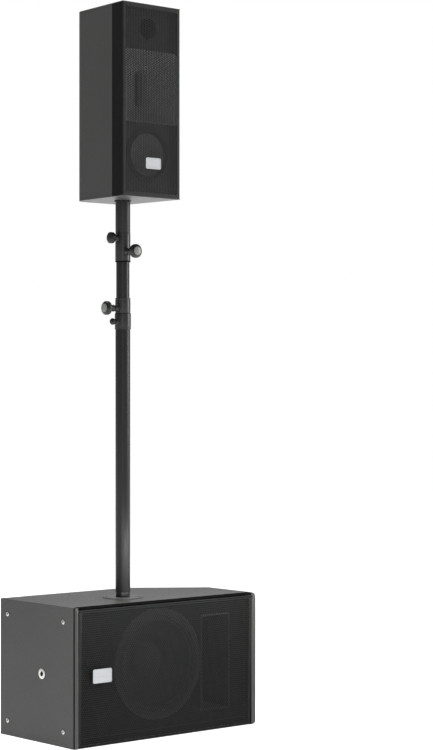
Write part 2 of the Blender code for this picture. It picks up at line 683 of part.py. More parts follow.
def connector_plate(name, centre, face, size, count, parent=None):
    """A plate on a rear face with round sockets above each other. centre is its X and Z."""
    x, z = centre
    holes = []
    for number in range(count):
        height = (number - (count - 1) / 2) * SOCKET_SPACING
        holes.append(circle((height, 0), SOCKET_BARREL_RADIUS + CLEARANCE, COARSE))
    loops = [rounded_rectangle((0, 0), *size, PLATE_CORNER, 2), *holes]
    mesh = outline_mesh(name, loops, PLATE_THICKNESS)
    at = (x, face + CLEARANCE + PLATE_THICKNESS / 2, z)
    add_part(name, mesh, "plastic", at, ACROSS_FRONT, parent)
    return at[1] + PLATE_THICKNESS / 2 + CLEARANCE


def socket(name, at, parent=None):
    """A round chassis connector with an open well; local +Z points out of the rear."""
    profile = [
        (0, SOCKET_FLANGE - SOCKET_WELL_DEPTH), (SOCKET_WELL_RADIUS, SOCKET_FLANGE - SOCKET_WELL_DEPTH),
        (SOCKET_WELL_RADIUS, SOCKET_FLANGE), (SOCKET_RADIUS, SOCKET_FLANGE), (SOCKET_RADIUS, 0),
        (SOCKET_BARREL_RADIUS, 0), (SOCKET_BARREL_RADIUS, -SOCKET_DEPTH), (0, -SOCKET_DEPTH),
    ]
    turned(name, profile, "plastic", at, TO_REAR, parent, COARSE)


def sub_connectors():
    x, z = LEFT + SUB_PLATE_FROM_LEFT, MIDDLE_HEIGHT
    size = (SUB_PLATE_WIDTH, SUB_PLATE_HEIGHT)
    face = connector_plate("sub_connector_plate", (x, z), REAR, size, 2)
    for label, side in (("input", -1), ("link", 1)):
        socket(f"sub_socket_{label}", (x + side * SOCKET_SPACING / 2, face, z))
    size = (CROSSOVER_WIDTH, CROSSOVER_THICKNESS, CROSSOVER_HEIGHT)
    low = BOTTOM_TOP + 2 * CLEARANCE
    at = (
        LEFT + CROSSOVER_FROM_LEFT + CROSSOVER_WIDTH / 2,
        REAR - SUB_BOARD - CLEARANCE - CROSSOVER_THICKNESS / 2,
        low + CROSSOVER_HEIGHT / 2,
    )
    add_part("sub_crossover", box_mesh("sub_crossover", size), "circuit", at)


# ---------------------------------------------------------------- pole


def pole_flange():
    rim = FLANGE_RADIUS - FLANGE_CHAMFER
    shoulder = FLANGE_THICKNESS - FLANGE_CHAMFER
    bore = STUD_RADIUS + CLEARANCE
    profile = [
        (rim, FLANGE_THICKNESS), (FLANGE_RADIUS, shoulder), (FLANGE_RADIUS, CLEARANCE),
        (FLANGE_CUP_RADIUS, CLEARANCE), (FLANGE_CUP_RADIUS, -FLANGE_CUP_DEPTH),
        (bore, -FLANGE_CUP_DEPTH), (bore, FLANGE_THICKNESS),
    ]
    turned("pole_flange", profile, "lacquer", (POLE_X, POLE_Y, SUB_HEIGHT))


def boss(target, radius, inner, outer, bore, height, turn):
    """A round boss on a collar and the radial hole through it."""
    at = (POLE_X, POLE_Y, height)
    lump = add_cutter(f"{target.name}_boss", rod_mesh("boss", radius, inner, outer, COARSE), at, turn)
    combine(target, lump, "UNION")
    hole(target, bore, outer + 0.01, height, turn)


def hole(target, bore, outer, height, turn):
    at = (POLE_X, POLE_Y, height)
    drill = rod_mesh("drill", bore, MIDDLE_RADIUS - 0.002, outer, TINY)
    combine(target, add_cutter(f"{target.name}_drill", drill, at, turn), "DIFFERENCE")


def clamp_screw(label, height, turn, parent):
    """A clamping screw: the threaded stud, and the round knob that turns it."""
    at = (POLE_X, POLE_Y, height)
    slide = joint_axis(f"{label}_clamp_axis", at)
    slide.parent = parent
    slide.location = [at[axis] - parent.location[axis] for axis in range(3)]
    name = f"{label}_clamp_stud"
    stud = rod_mesh(name, CLAMP_STUD_RADIUS, MIDDLE_RADIUS + CLEARANCE, CLAMP_STUD_END, TINY)
    stud_part = add_part(name, stud, "steel", at, turn)
    bore = CLAMP_STUD_RADIUS + CLEARANCE
    face, rim, neck = KNOB_FACE_RADIUS, KNOB_RADIUS, KNOB_NECK_RADIUS
    knob = [
        (0, KNOB_END), (face, KNOB_END), (face + 0.002, KNOB_END - 0.001), (rim, KNOB_END - 0.005),
        (rim, KNOB_END - 0.011), (rim - 0.003, KNOB_END - 0.016), (neck + 0.001, KNOB_END - 0.018),
        (neck, KNOB_END - 0.020), (neck, KNOB_START), (bore, KNOB_START),
        (bore, CLAMP_STUD_END + CLEARANCE), (0, CLAMP_STUD_END + CLEARANCE),
    ]
    knob_part = turned(f"{label}_clamp_knob", knob, "plastic", at, turn, facets=COARSE)
    for piece in (stud_part, knob_part):
        piece.parent = slide
        piece.location = (0, 0, 0)


def lock_pin(label, height, wall_radius, size, parent):
    """A sprung locking pin that is pulled out by its round head."""
    reach, radius, length = size
    start = wall_radius + reach + PIN_HEAD_GAP
    end = start + length
    tip = MIDDLE_RADIUS + CLEARANCE
    profile = [
        (0, end), (radius * 0.7, end), (radius, end - radius * 0.25), (radius, start + radius * 0.3),
        (radius * 0.75, start), (PIN_RADIUS, start), (PIN_RADIUS, tip + PIN_CHAMFER),
        (PIN_RADIUS - PIN_CHAMFER, tip), (0, tip),
    ]
    at = (POLE_X, POLE_Y, height)
    turned(f"{label}_lock_pin", profile, "plastic", at, TO_LEFT, parent, COARSE)


def pole_base():
    base = joint_axis("pole_axis", (POLE_X, POLE_Y, STUD_BASE))
    spigot = TUBE_RADIUS - TUBE_WALL - CLEARANCE
    profile = [
        (0, STUD_RING_HEIGHT + STUD_SPIGOT), (spigot, STUD_RING_HEIGHT + STUD_SPIGOT),
        (spigot, STUD_RING_HEIGHT), (STUD_RING_RADIUS, STUD_RING_HEIGHT), (STUD_RING_RADIUS, 0),
        (STUD_RADIUS, 0), (STUD_RADIUS, -STUD_LENGTH), (0, -STUD_LENGTH),
    ]
    turned("pole_stud", profile, "plastic", (POLE_X, POLE_Y, STUD_BASE), parent=base)
    bore = TUBE_RADIUS - TUBE_WALL
    tube = sleeve("pole_lower_tube", TUBE_RADIUS, bore, LOWER_TUBE_BOTTOM, LOWER_TUBE_TOP, "tube", base)
    pin_hole = PIN_RADIUS + CLEARANCE
    pin_boss_end = LOWER_COLLAR_RADIUS + LOWER_PIN[0]
    hole(tube, pin_hole, pin_boss_end, LOWER_PIN_HEIGHT, TO_LEFT)
    collar = sleeve(
        "pole_lower_collar", LOWER_COLLAR_RADIUS, COLLAR_BORE, LOWER_TUBE_TOP - LOWER_COLLAR_LENGTH,
        LOWER_TUBE_TOP, "plastic", base,
    )
    root = LOWER_COLLAR_RADIUS - BOSS_ROOT
    boss(collar, PIN_BOSS_RADIUS, root, pin_boss_end, pin_hole, LOWER_PIN_HEIGHT, TO_LEFT)
    top = CLAMP_RING_BOTTOM + CLAMP_RING_LENGTH
    ring = sleeve("pole_clamp_ring", CLAMP_RADIUS, CLAMP_BORE, CLAMP_RING_BOTTOM, top, "plastic", base)
    screw_hole = CLAMP_STUD_RADIUS + CLEARANCE
    inner = CLAMP_RADIUS - BOSS_ROOT
    boss(ring, CLAMP_BOSS_RADIUS, inner, CLAMP_BOSS_END, screw_hole, LOWER_CLAMP_HEIGHT, TO_LEFT)
    clamp_screw("lower", LOWER_CLAMP_HEIGHT, TO_LEFT, base)
    lock_pin("lower", LOWER_PIN_HEIGHT, LOWER_COLLAR_RADIUS, LOWER_PIN, base)


def pole_mast():
    middle = joint_axis("middle_mast_axis", (POLE_X, POLE_Y, LOWER_TUBE_TOP))
    bore = MIDDLE_RADIUS - TUBE_WALL
    sleeve("pole_middle_tube", MIDDLE_RADIUS, bore, MIDDLE_BOTTOM, MIDDLE_TOP, "tube", middle)
    upper = joint_axis("upper_mast_axis", (POLE_X, POLE_Y, UPPER_COLLAR_BOTTOM))
    collar = sleeve(
        "pole_upper_collar", CLAMP_RADIUS, CLAMP_BORE, UPPER_COLLAR_BOTTOM,
        UPPER_COLLAR_BOTTOM + UPPER_COLLAR_LENGTH, "plastic", upper, chamfer=UPPER_COLLAR_CHAMFER,
    )
    inner = CLAMP_RADIUS - BOSS_ROOT
    screw_hole = CLAMP_STUD_RADIUS + CLEARANCE
    boss(collar, CLAMP_BOSS_RADIUS, inner, CLAMP_BOSS_END, screw_hole, UPPER_CLAMP_HEIGHT, TO_FRONT)
    pin_hole = PIN_RADIUS + CLEARANCE
    boss(collar, PIN_BOSS_RADIUS, inner, CLAMP_RADIUS + UPPER_PIN[0], pin_hole, UPPER_PIN_HEIGHT, TO_LEFT)
    bore = TUBE_RADIUS - TUBE_WALL
    sleeve("pole_upper_tube", TUBE_RADIUS, bore, UPPER_TUBE_BOTTOM, UPPER_TUBE_TOP, "tube", upper)
    clamp_screw("upper", UPPER_CLAMP_HEIGHT, TO_FRONT, upper)
    lock_pin("upper", UPPER_PIN_HEIGHT, CLAMP_RADIUS, UPPER_PIN, upper)

    swivel = joint_axis("swivel_axis", (POLE_X, POLE_Y, WASHER_BASE))
    spigot = TUBE_RADIUS - TUBE_WALL - CLEARANCE
    edge = TUBE_RADIUS - WASHER_EDGE
    profile = [
        (0, WASHER_THICKNESS), (edge, WASHER_THICKNESS), (edge, 0),
        (spigot, 0), (spigot, -WASHER_SPIGOT), (0, -WASHER_SPIGOT),
    ]
    turned("thrust_washer", profile, "plastic", (POLE_X, POLE_Y, WASHER_BASE), parent=swivel)


# ---------------------------------------------------------------- top cabinet


def side_at(depth):
    """Half the top cabinet's width at a depth behind its front."""
    return TOP_WIDTH / 2 - (TOP_WIDTH - TOP_BACK_WIDTH) / 2 * depth / TOP_DEPTH


def rear_corners(wall=0):
    """The two rear corners, from the right one to the left one, as X and depth, a wall inside the outline."""
    lean = math.atan2((TOP_WIDTH - TOP_BACK_WIDTH) / 2, TOP_DEPTH)
    depth = TOP_DEPTH - TOP_REAR_RADIUS
    centre = (side_at(depth) - TOP_REAR_RADIUS / math.cos(lean), depth)
    right = arc(centre, TOP_REAR_RADIUS - wall, math.degrees(lean), 90, REAR_STEPS)
    return right + [(-x, y) for x, y in reversed(right)]


def end_outline():
    """An end plate in X and depth."""
    return [(side_at(0), 0), *rear_corners(), (-side_at(0), 0)]


def shell_outline():
    """The wrap-round wall in X and depth, thinner by the grille's sheet where the grille laps it."""
    start = TOP_BAFFLE_FRONT + TOP_BAFFLE_THICKNESS + CLEARANCE
    step = TOP_GRILLE_WRAP + CLEARANCE
    right = [
        (side_at(start) - GRILLE_STEP, start), (side_at(step) - GRILLE_STEP, step), (side_at(step), step),
    ]
    left = [(-x, depth) for x, depth in reversed(right)]
    inner = side_at(start) - TOP_WALL
    return [*right, *rear_corners(), *left, (-inner, start), *reversed(rear_corners(TOP_WALL)), (inner, start)]


def top_grille_outline():
    """The grille in X and depth: a flat face and two side returns."""
    face = TOP_GRILLE_SETBACK
    bend, inside = GRILLE_BEND, GRILLE_BEND - GRILLE_SHEET
    half = side_at(face)
    back = TOP_GRILLE_WRAP
    centre = (half - bend, face + bend)
    outer = [(side_at(back), back), *arc(centre, bend, 0, -90, 3)]
    inner = [*arc(centre, inside, -90, 0, 3), (side_at(back) - GRILLE_SHEET, back)]
    mirrored = [(-x, depth) for x, depth in reversed(outer)]
    inner_mirrored = [(-x, depth) for x, depth in reversed(inner)]
    return [*outer, *mirrored, *inner_mirrored, *inner]


def top_boards(parent):
    at = (POLE_X, TOP_FRONT, 0)
    low = TOP_BOTTOM + TOP_END_PLATE + CLEARANCE
    high = TOP_TOP - TOP_END_PLATE - CLEARANCE
    middle = (at[0], at[1], (low + high) / 2)
    mesh = outline_mesh("top_shell", [shell_outline()], high - low)
    shell = add_part("top_shell", mesh, "lacquer", middle, parent=parent)
    opening = (TOP_PLATE_WIDTH - 2 * PLATE_LAP, 4 * TOP_WALL, TOP_PLATE_HEIGHT - 2 * PLATE_LAP)
    back = TOP_FRONT + TOP_DEPTH
    centre = (POLE_X, back, TOP_PLATE_CENTRE_HEIGHT)
    window = add_cutter("plate_window", box_mesh("plate_window", opening), centre)
    combine(shell, window, "DIFFERENCE")
    cup_hole = circle((0, TOP_POLE_FROM_FRONT), cup_radius() + CLEARANCE, MEDIUM)
    base_height = TOP_BOTTOM + TOP_END_PLATE / 2
    base = outline_mesh("top_base_plate", [end_outline(), cup_hole], TOP_END_PLATE)
    add_part("top_base_plate", base, "lacquer", (at[0], at[1], base_height), parent=parent)
    cap_height = TOP_TOP - TOP_END_PLATE / 2
    cap = outline_mesh("top_cap_plate", [end_outline()], TOP_END_PLATE)
    add_part("top_cap_plate", cap, "lacquer", (at[0], at[1], cap_height), parent=parent)
    grille = outline_mesh("top_grille", [top_grille_outline()], high - low)
    add_part("top_grille", grille, "grille", middle, parent=parent)

    half = side_at(TOP_BAFFLE_FRONT + TOP_BAFFLE_THICKNESS) - GRILLE_STEP
    wide, tall = horn_size(TOP_BAFFLE_FRONT)
    gap = HORN_WALL + HORN_CUTOUT_GAP
    panel = rectangle((0, (low + high) / 2), 2 * half, high - low)
    holes = [
        circle((0, TOP_WOOFER_HEIGHT), TOP_WOOFER_RADIUS - TOP_WOOFER_LEDGE + CLEARANCE, MEDIUM),
        rectangle((0, HORN_CENTRE_HEIGHT), 2 * (wide + gap), 2 * (tall + gap)),
        circle((0, TOP_PORT_HEIGHT), TOP_PORT_RADIUS, COARSE),
    ]
    baffle = outline_mesh("top_baffle", [panel, *holes], TOP_BAFFLE_THICKNESS)
    depth = TOP_FRONT + TOP_BAFFLE_FRONT + TOP_BAFFLE_THICKNESS / 2
    add_part("top_baffle", baffle, "plastic", (POLE_X, depth, 0), ACROSS_FRONT, parent)


def cup_radius():
    return TUBE_RADIUS + SOCKET_CUP_GAP + SOCKET_CUP_WALL


def pole_socket(parent):
    """A steel cup that takes the upper tube, held by a flange on the base plate."""
    bore, outer = TUBE_RADIUS + SOCKET_CUP_GAP, cup_radius()
    ceiling = WASHER_BASE + WASHER_THICKNESS + CLEARANCE
    seat = TOP_BOTTOM + TOP_END_PLATE + CLEARANCE
    mouth = TOP_BOTTOM - SOCKET_CUP_LIP
    profile = [
        (0, ceiling + SOCKET_CUP_WALL), (outer, ceiling + SOCKET_CUP_WALL), (outer, seat + SOCKET_CUP_FLANGE),
        (SOCKET_CUP_FLANGE_RADIUS, seat + SOCKET_CUP_FLANGE), (SOCKET_CUP_FLANGE_RADIUS, seat),
        (outer, seat), (outer, mouth), (bore, mouth), (bore, ceiling), (0, ceiling),
    ]
    turned("top_pole_socket", profile, "tube", (POLE_X, POLE_Y, 0), parent=parent)


def horn_size(depth):
    """Half the horn's inner width and height at a depth behind the cabinet's front."""
    share = max(0.0, (HORN_BACK - depth) / (HORN_BACK - HORN_FRONT)) ** HORN_FLARE
    return [throat + (mouth - throat) * share for throat, mouth in zip(HORN_THROAT, HORN_MOUTH)]


def horn_ring(half_width, half_height, corner):
    radius = min(corner, half_width * 0.9, half_height * 0.9)
    return rounded_rectangle((0, 0), 2 * half_width, 2 * half_height, radius, 3)


def horn_mesh():
    """A loft from the throat slot to the mouth: sections up the outside, then down the inside."""
    depths = [HORN_BACK - (HORN_BACK - HORN_FRONT) * k / HORN_SECTIONS for k in range(HORN_SECTIONS + 1)]
    rings = []
    flange_front = HORN_BACK - HORN_FLANGE_THICKNESS
    rings.append((horn_ring(*HORN_FLANGE, HORN_CORNER), HORN_BACK))
    rings.append((horn_ring(*HORN_FLANGE, HORN_CORNER), flange_front))
    for depth in depths[1:]:
        wide, tall = horn_size(depth)
        ring = horn_ring(wide + HORN_WALL, tall + HORN_WALL, HORN_CORNER)
        rings.append((ring, min(depth, flange_front - 0.0005)))
    for depth in reversed(depths):
        rings.append((horn_ring(*horn_size(depth), HORN_CORNER - HORN_WALL), depth))
    mesh = bpy.data.meshes.new("horn")
    cage = bmesh.new()
    loops = [[cage.verts.new((x, z, -depth)) for x, z in ring] for ring, depth in rings]
    count = len(loops[0])
    for first, second in zip(loops, loops[1:] + loops[:1]):
        for k in range(count):
            follow = (k + 1) % count
            cage.faces.new((first[k], first[follow], second[follow], second[k]))
    bmesh.ops.recalc_face_normals(cage, faces=cage.faces)
    cage.to_mesh(mesh)
    cage.free()
    return mesh


def top_drivers(parent):
    front = (POLE_X, TOP_FRONT, HORN_CENTRE_HEIGHT)
    add_part("horn", horn_mesh(), "plastic", front, TO_FRONT, parent)
    start = -HORN_BACK - CLEARANCE
    rear = start - MOTOR_LENGTH
    step = start - MOTOR_NECK_LENGTH
    exit_floor = start - MOTOR_EXIT_DEPTH
    motor = [
        (0, exit_floor), (MOTOR_EXIT_RADIUS, exit_floor), (MOTOR_EXIT_RADIUS, start),
        (MOTOR_NECK_RADIUS, start), (MOTOR_NECK_RADIUS, step), (MOTOR_RADIUS, step - MOTOR_CHAMFER),
        (MOTOR_RADIUS, rear), (0, rear),
    ]
    turned("compression_driver", motor, "ferrite", front, TO_FRONT, parent, MEDIUM)

    at = (POLE_X, TOP_FRONT + TOP_BAFFLE_FRONT, TOP_WOOFER_HEIGHT)
    opening = TOP_WOOFER_RADIUS - TOP_WOOFER_LEDGE
    wall, rise, step = TOP_WOOFER_WALL, TOP_WOOFER_RIM, TOP_WOOFER_STEP
    foot = -TOP_CONE_DEPTH - TOP_WOOFER_BACK_GAP
    gap_floor, rear = foot - TOP_GAP_DEPTH, foot - TOP_MAGNET_HEIGHT
    coil, coil_outer = TOP_COIL_RADIUS, TOP_COIL_RADIUS + COIL_WALL
    gap_inner, gap_outer = coil - TOP_GAP_HALF, coil + TOP_GAP_HALF
    frame = [
        (0, foot), (gap_inner, foot), (gap_inner, gap_floor), (gap_outer, gap_floor), (gap_outer, foot),
        (TOP_MAGNET_RADIUS - wall, foot), (opening - wall, -step), (opening - wall, rise),
        (TOP_WOOFER_RADIUS, rise), (TOP_WOOFER_RADIUS, CLEARANCE), (opening, CLEARANCE), (opening, -step),
        (TOP_MAGNET_RADIUS, foot), (TOP_MAGNET_RADIUS, rear), (0, rear),
    ]
    turned("top_woofer_frame", frame, "casting", at, TO_FRONT, parent, MEDIUM)
    moving = joint_axis("top_woofer_axis", at)
    edge = opening - 2 * TOP_ROLL_RADIUS
    rim, bowl = -TOP_RIM_DEPTH, -TOP_CONE_DEPTH
    cap, seat = TOP_CAP_RADIUS, bowl + TOP_CAP_SEAT
    crown = seat + TOP_CAP_RISE
    cone = [
        (0, crown), (cap / 2, crown - CONE_WALL), (cap, seat), (edge - CLEARANCE, rim),
        (edge - CLEARANCE, rim - CONE_WALL), (coil_outer, bowl), (coil_outer, foot - TOP_COIL_IN_GAP),
        (coil, foot - TOP_COIL_IN_GAP), (coil, bowl + 2 * CONE_WALL), (0, crown - 2 * CONE_WALL),
    ]
    turned("top_woofer_cone", cone, "paper", at, TO_FRONT, moving, MEDIUM)
    roll = roll_profile(edge + CLEARANCE, opening - wall - CLEARANCE, rim + SHEET_WALL, SHEET_WALL, 4)
    turned("top_woofer_surround", roll, "rubber", at, TO_FRONT, parent, MEDIUM)
    moving.parent = parent
    moving.location = [at[axis] - parent.location[axis] for axis in range(3)]


def top_connectors(parent):
    centre = (POLE_X, TOP_PLATE_CENTRE_HEIGHT)
    size = (TOP_PLATE_WIDTH, TOP_PLATE_HEIGHT)
    face = connector_plate("top_connector_plate", centre, TOP_FRONT + TOP_DEPTH, size, 1, parent)
    socket("top_socket_input", (POLE_X, face, TOP_PLATE_CENTRE_HEIGHT), parent)


def badge(name, x, z, face, size, parent=None):
    mesh = outline_mesh(name, [rounded_rectangle((0, 0), *size, BADGE_CORNER, 3)], BADGE_THICKNESS)
    at = (x, face - CLEARANCE - BADGE_THICKNESS / 2, z)
    add_part(name, mesh, "badge", at, ACROSS_FRONT, parent)


def build():
    left_rear, right_rear = REAR, FRONT + SUB_RIGHT_DEPTH
    side_board("sub_side_left", -1, left_rear)
    side_board("sub_side_right", 1, right_rear)
    side_fittings("left", -1, left_rear)
    side_fittings("right", 1, right_rear)
    sub_boards()
    sub_grille()
    port_duct()
    sub_driver()
    sub_connectors()
    from_left, above, *size = SUB_BADGE
    badge("sub_badge", LEFT + from_left, MIDDLE_HEIGHT + above, FRONT + SUB_GRILLE_SETBACK, size)

    pole_flange()
    pole_base()
    pole_mast()

    cabinet = joint_axis("top_cabinet_axis", (POLE_X, POLE_Y, TOP_BOTTOM))
    top_boards(cabinet)
    pole_socket(cabinet)
    top_drivers(cabinet)
    top_connectors(cabinet)
    from_centre, up, *size = TOP_BADGE
    face = TOP_FRONT + TOP_GRILLE_SETBACK
    badge("top_badge", POLE_X + from_centre, TOP_BOTTOM + up, face, size, cabinet)


build()
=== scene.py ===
"""Looks for the loudspeaker stack: fine meshes, materials, floor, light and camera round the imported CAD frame.

Everything is in metres in the frame's own axes: the front faces -Y and +Z is up.
"""

import math

import bmesh
import bpy
import numpy as np
from mathutils import Matrix, Vector


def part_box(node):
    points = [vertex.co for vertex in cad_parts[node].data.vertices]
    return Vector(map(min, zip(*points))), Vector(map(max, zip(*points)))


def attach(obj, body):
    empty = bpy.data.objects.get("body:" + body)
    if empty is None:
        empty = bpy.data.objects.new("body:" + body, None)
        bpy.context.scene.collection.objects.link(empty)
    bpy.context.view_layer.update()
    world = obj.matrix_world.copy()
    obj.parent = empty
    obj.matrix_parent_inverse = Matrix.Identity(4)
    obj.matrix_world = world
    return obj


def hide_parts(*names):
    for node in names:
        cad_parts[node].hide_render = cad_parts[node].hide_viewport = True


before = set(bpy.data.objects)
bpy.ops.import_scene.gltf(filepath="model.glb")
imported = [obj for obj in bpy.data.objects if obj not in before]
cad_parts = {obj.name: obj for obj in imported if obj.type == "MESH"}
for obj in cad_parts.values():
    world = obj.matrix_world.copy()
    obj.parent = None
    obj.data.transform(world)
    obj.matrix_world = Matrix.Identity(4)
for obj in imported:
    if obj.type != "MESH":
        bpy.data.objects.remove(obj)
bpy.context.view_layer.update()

X, Y, Z = Vector((1, 0, 0)), Vector((0, 1, 0)), Vector((0, 0, 1))
SUB, TOP = "sub_cabinet", "top_cabinet"  # the two cabinets' bodies
FINE, ROUND, SMALL = 128, 96, 40  # segments round a turn: drivers, pole, fasteners
FILLET_STEPS = 3

# Details that the frame doesn't hold
BOARD_EDGE = 0.0012
SIDE_EDGE = 0.0030  # the side boards' rounding
SIDE_CORNER = 0.012
SIDE_BEVEL = 0.0063  # the slope from a side board's front edge in to the grille
SIDE_LAP = 0.0075  # how far the grille reaches over a side board
SIDE_SCREW_HEAD, SIDE_SCREW_LENGTH = 0.0059, 0.012
INSERT_HOLE = 0.0088
GROOVE_START, GROOVE_END, GROOVE_DEPTH = 0.0092, 0.0152, 0.0022  # behind the front edge, down the side
GRILLE_DROP = 0.0036  # the bass grille's top edge, below the cabinet's top
PLATE_EDGE = 0.0005
HOLE_PITCH = 0.0056  # grille holes, centre to centre
HOLE_RADIUS = 0.0023
GRILLE_SHEET = 0.0012
GRILLE_BEND = 0.0030
GRILLE_MARGIN = 0.0042
TOP_LEAN = math.atan(0.012 / 0.200)  # the top cabinet's sides lean in by 12 mm over its depth
TOP_REAR_RADIUS = 0.030
TOP_WALL = 0.010
TOP_LAP = 0.0046  # how far the top grille reaches over the end plates' edges
SHEET_STEP = 0.0018  # the rebate that the top grille's sides lie in
PIN_SHOWN = 0.0026  # the bright shank between a pull pin's boss and its head
TUBE_EDGE = 0.0006
TUBE_WALL = 0.0015
CONE_BULGE = 0.03
HORN_THROAT = (0.0120, 0.0395)  # half width and half height
HORN_FLARE = 1.12
HORN_WALL = 0.002
HORN_SECTIONS = 24

ROOM_LIGHT = 0.28
FLOOR_GLOW = 0.76
LIGHTS = (  # name, place, target, size, power in watts
    ("overhead", (0.1, 0.2, 3.6), (0, 0, 0), (2.4, 2.4), 94),
    ("behind_camera", (-3.3, -4.2, 1.0), (0, 0, 0.9), (0.5, 2.6), 14),
    ("right_front", (2.6, -1.8, 1.5), (0, 0, 1.2), (1.0, 1.6), 40),
    ("back_low", (1.9, 2.4, 0.7), (0, 0, 0.5), (1.6, 1.4), 6),
    ("low_front", (0.0, -0.30, 0.40), (0, -0.15, 0.22), (0.9, 0.06), 2.4),
)

# --- places


def middle(node):
    low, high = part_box(node)
    return (low + high) / 2


def side_at(node, x, tolerance=0.0004):
    """The greatest Y of a node's vertices near one X."""
    return max(v.co.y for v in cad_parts[node].data.vertices if abs(v.co.x - x) < tolerance)


POLE = middle("pole_lower_tube").xy
SUB_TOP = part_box("sub_side_left")[1].z


def on_pole(height):
    return Vector((POLE.x, POLE.y, height))


def radius_from_pole(node):
    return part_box(node)[1].x - POLE.x


# --- materials


class Look:
    """A Principled material with helpers that lead texture nodes into it."""

    def __init__(self, name, colour, roughness, metallic, sockets):
        self.material = bpy.data.materials.new(name)
        self.material.use_nodes = True
        self.tree = self.material.node_tree
        self.shader = self.tree.nodes["Principled BSDF"]
        self.fill(self.shader, Base_Color=(*colour, 1), Roughness=roughness, Metallic=metallic, **sockets)
        self.colour = colour
        self.roughness = roughness
        self.places = self.node("ShaderNodeTexCoord").outputs["Object"]
        self.normal = None

    def fill(self, node, **inputs):
        """Sets a node's inputs, or links them where another node's output is given."""
        for name, value in inputs.items():
            socket = node.inputs[name.replace("_", " ")]
            if isinstance(value, bpy.types.NodeSocket):
                self.tree.links.new(value, socket)
            else:
                socket.default_value = value
        return node

    def node(self, kind, **inputs):
        return self.fill(self.tree.nodes.new(kind), **inputs)

    def noise(self, scale, detail=None, stretch=(1, 1, 1)):
        """A noise, or a pattern of cells where no detail is given."""
        place = self.node("ShaderNodeMapping", Scale=stretch, Vector=self.places).outputs["Vector"]
        if detail is None:
            return self.node("ShaderNodeTexVoronoi", Scale=scale, Vector=place).outputs["Distance"]
        return self.node("ShaderNodeTexNoise", Scale=scale, Detail=detail, Vector=place).outputs["Fac"]

    def spread(self, source, low, high):
        """Maps a texture's middle range to the values low to high."""
        ramp = self.node("ShaderNodeMapRange", Value=source, To_Min=low, To_Max=high)
        return self.fill(ramp, From_Min=0.3, From_Max=0.7).outputs["Result"]

    def mottle(self, source, light, dark):
        """Varies the colour between two shares of the base colour."""
        mix = self.node("ShaderNodeMix")
        mix.data_type = "RGBA"
        dark, light = [(*[c * share for c in self.colour], 1) for share in (dark, light)]
        self.fill(mix, Factor=self.spread(source, 0, 1), A=dark, B=light)
        self.fill(self.shader, Base_Color=mix.outputs["Result"])

    def patchy(self, source, amount):
        gloss = self.spread(source, self.roughness - amount, self.roughness + amount)
        self.fill(self.shader, Roughness=gloss)

    def bump(self, source, depth, strength):
        bump = self.node("ShaderNodeBump", Distance=depth, Strength=strength, Height=source)
        if self.normal:
            self.fill(bump, Normal=self.normal)
        self.normal = bump.outputs["Normal"]
        self.fill(self.shader, Normal=self.normal)


def surface(name, colour, roughness, metallic=0.0, bumps=(), tones=None, patches=None, **sockets):
    """A material with bumps, drifts of tone and patches of gloss, which each start with a noise's settings.

    A bump goes on with its depth and strength, tones with a light and a dark share, and patches with an amount.
    """
    look = Look(name, colour, roughness, metallic, sockets)
    for noise, depth, strength in bumps:
        look.bump(look.noise(*noise), depth, strength)
    if tones:
        look.mottle(look.noise(*tones[0]), *tones[1:])
    if patches:
        look.patchy(look.noise(*patches[0]), patches[1])
    return look.material


def powder_coat(name, colour, roughness, gloss):
    bumps, tones, patches = [((2600, 2), 0.00005, 0.5)], ((60, 2), 1.12, 0.88), ((500, 2), 0.06)
    return surface(name, colour, roughness, 0, bumps, tones, patches, Specular_IOR_Level=gloss)


def moulded(name, colour, roughness):
    """Moulded plastic with a fine leather-like grain."""
    return surface(
        name, colour, roughness, 0, [((1500,), 0.00008, 0.4)], ((45, 2), 1.1, 0.9), ((300, 2), 0.05)
    )


def paper(name, colour):
    """Pressed cone paper: matted fibres."""
    return surface(name, colour, 0.8, 0, [((1100, 6, (1, 1, 0.35)), 0.00025, 0.7)], ((240, 5), 1.25, 0.75))


def cast(name, colour, roughness, metallic):
    bumps = [((800, 3), 0.00012, 0.5)]
    return surface(name, colour, roughness, metallic, bumps, ((70, 3), 1.1, 0.9), ((200, 2), 0.08))


BRUSHED = (0.03, 1, 1)  # brush marks run along X
LACQUER = surface(  # sprayed, with fine pimples
    "structure_lacquer", (0.037, 0.039, 0.036), 0.50, 0, [((620,), 0.00022, 0.55), ((1500, 3), 0.00008, 0.45)],
    ((7, 3), 1.05, 0.95), ((380, 2), 0.07),
)
GRILLE = powder_coat("grille_coat", (0.010, 0.011, 0.010), 0.50, 0.12)
# the top grille's copy of the same black coat is lighter and glossier: painted light, so the top grille reads
# brighter than the bass grille
TOP_GRILLE_PAINTED_LIGHT = powder_coat("top_grille_coat_painted_light", (0.018, 0.020, 0.018), 0.50, 0.20)
# the baffle's real matt black, also used as painted shade on faces that lie in shadow
BAFFLE_BLACK_AND_SHADE = powder_coat("baffle_black_and_painted_shade", (0.008, 0.008, 0.008), 0.8, 0.1)
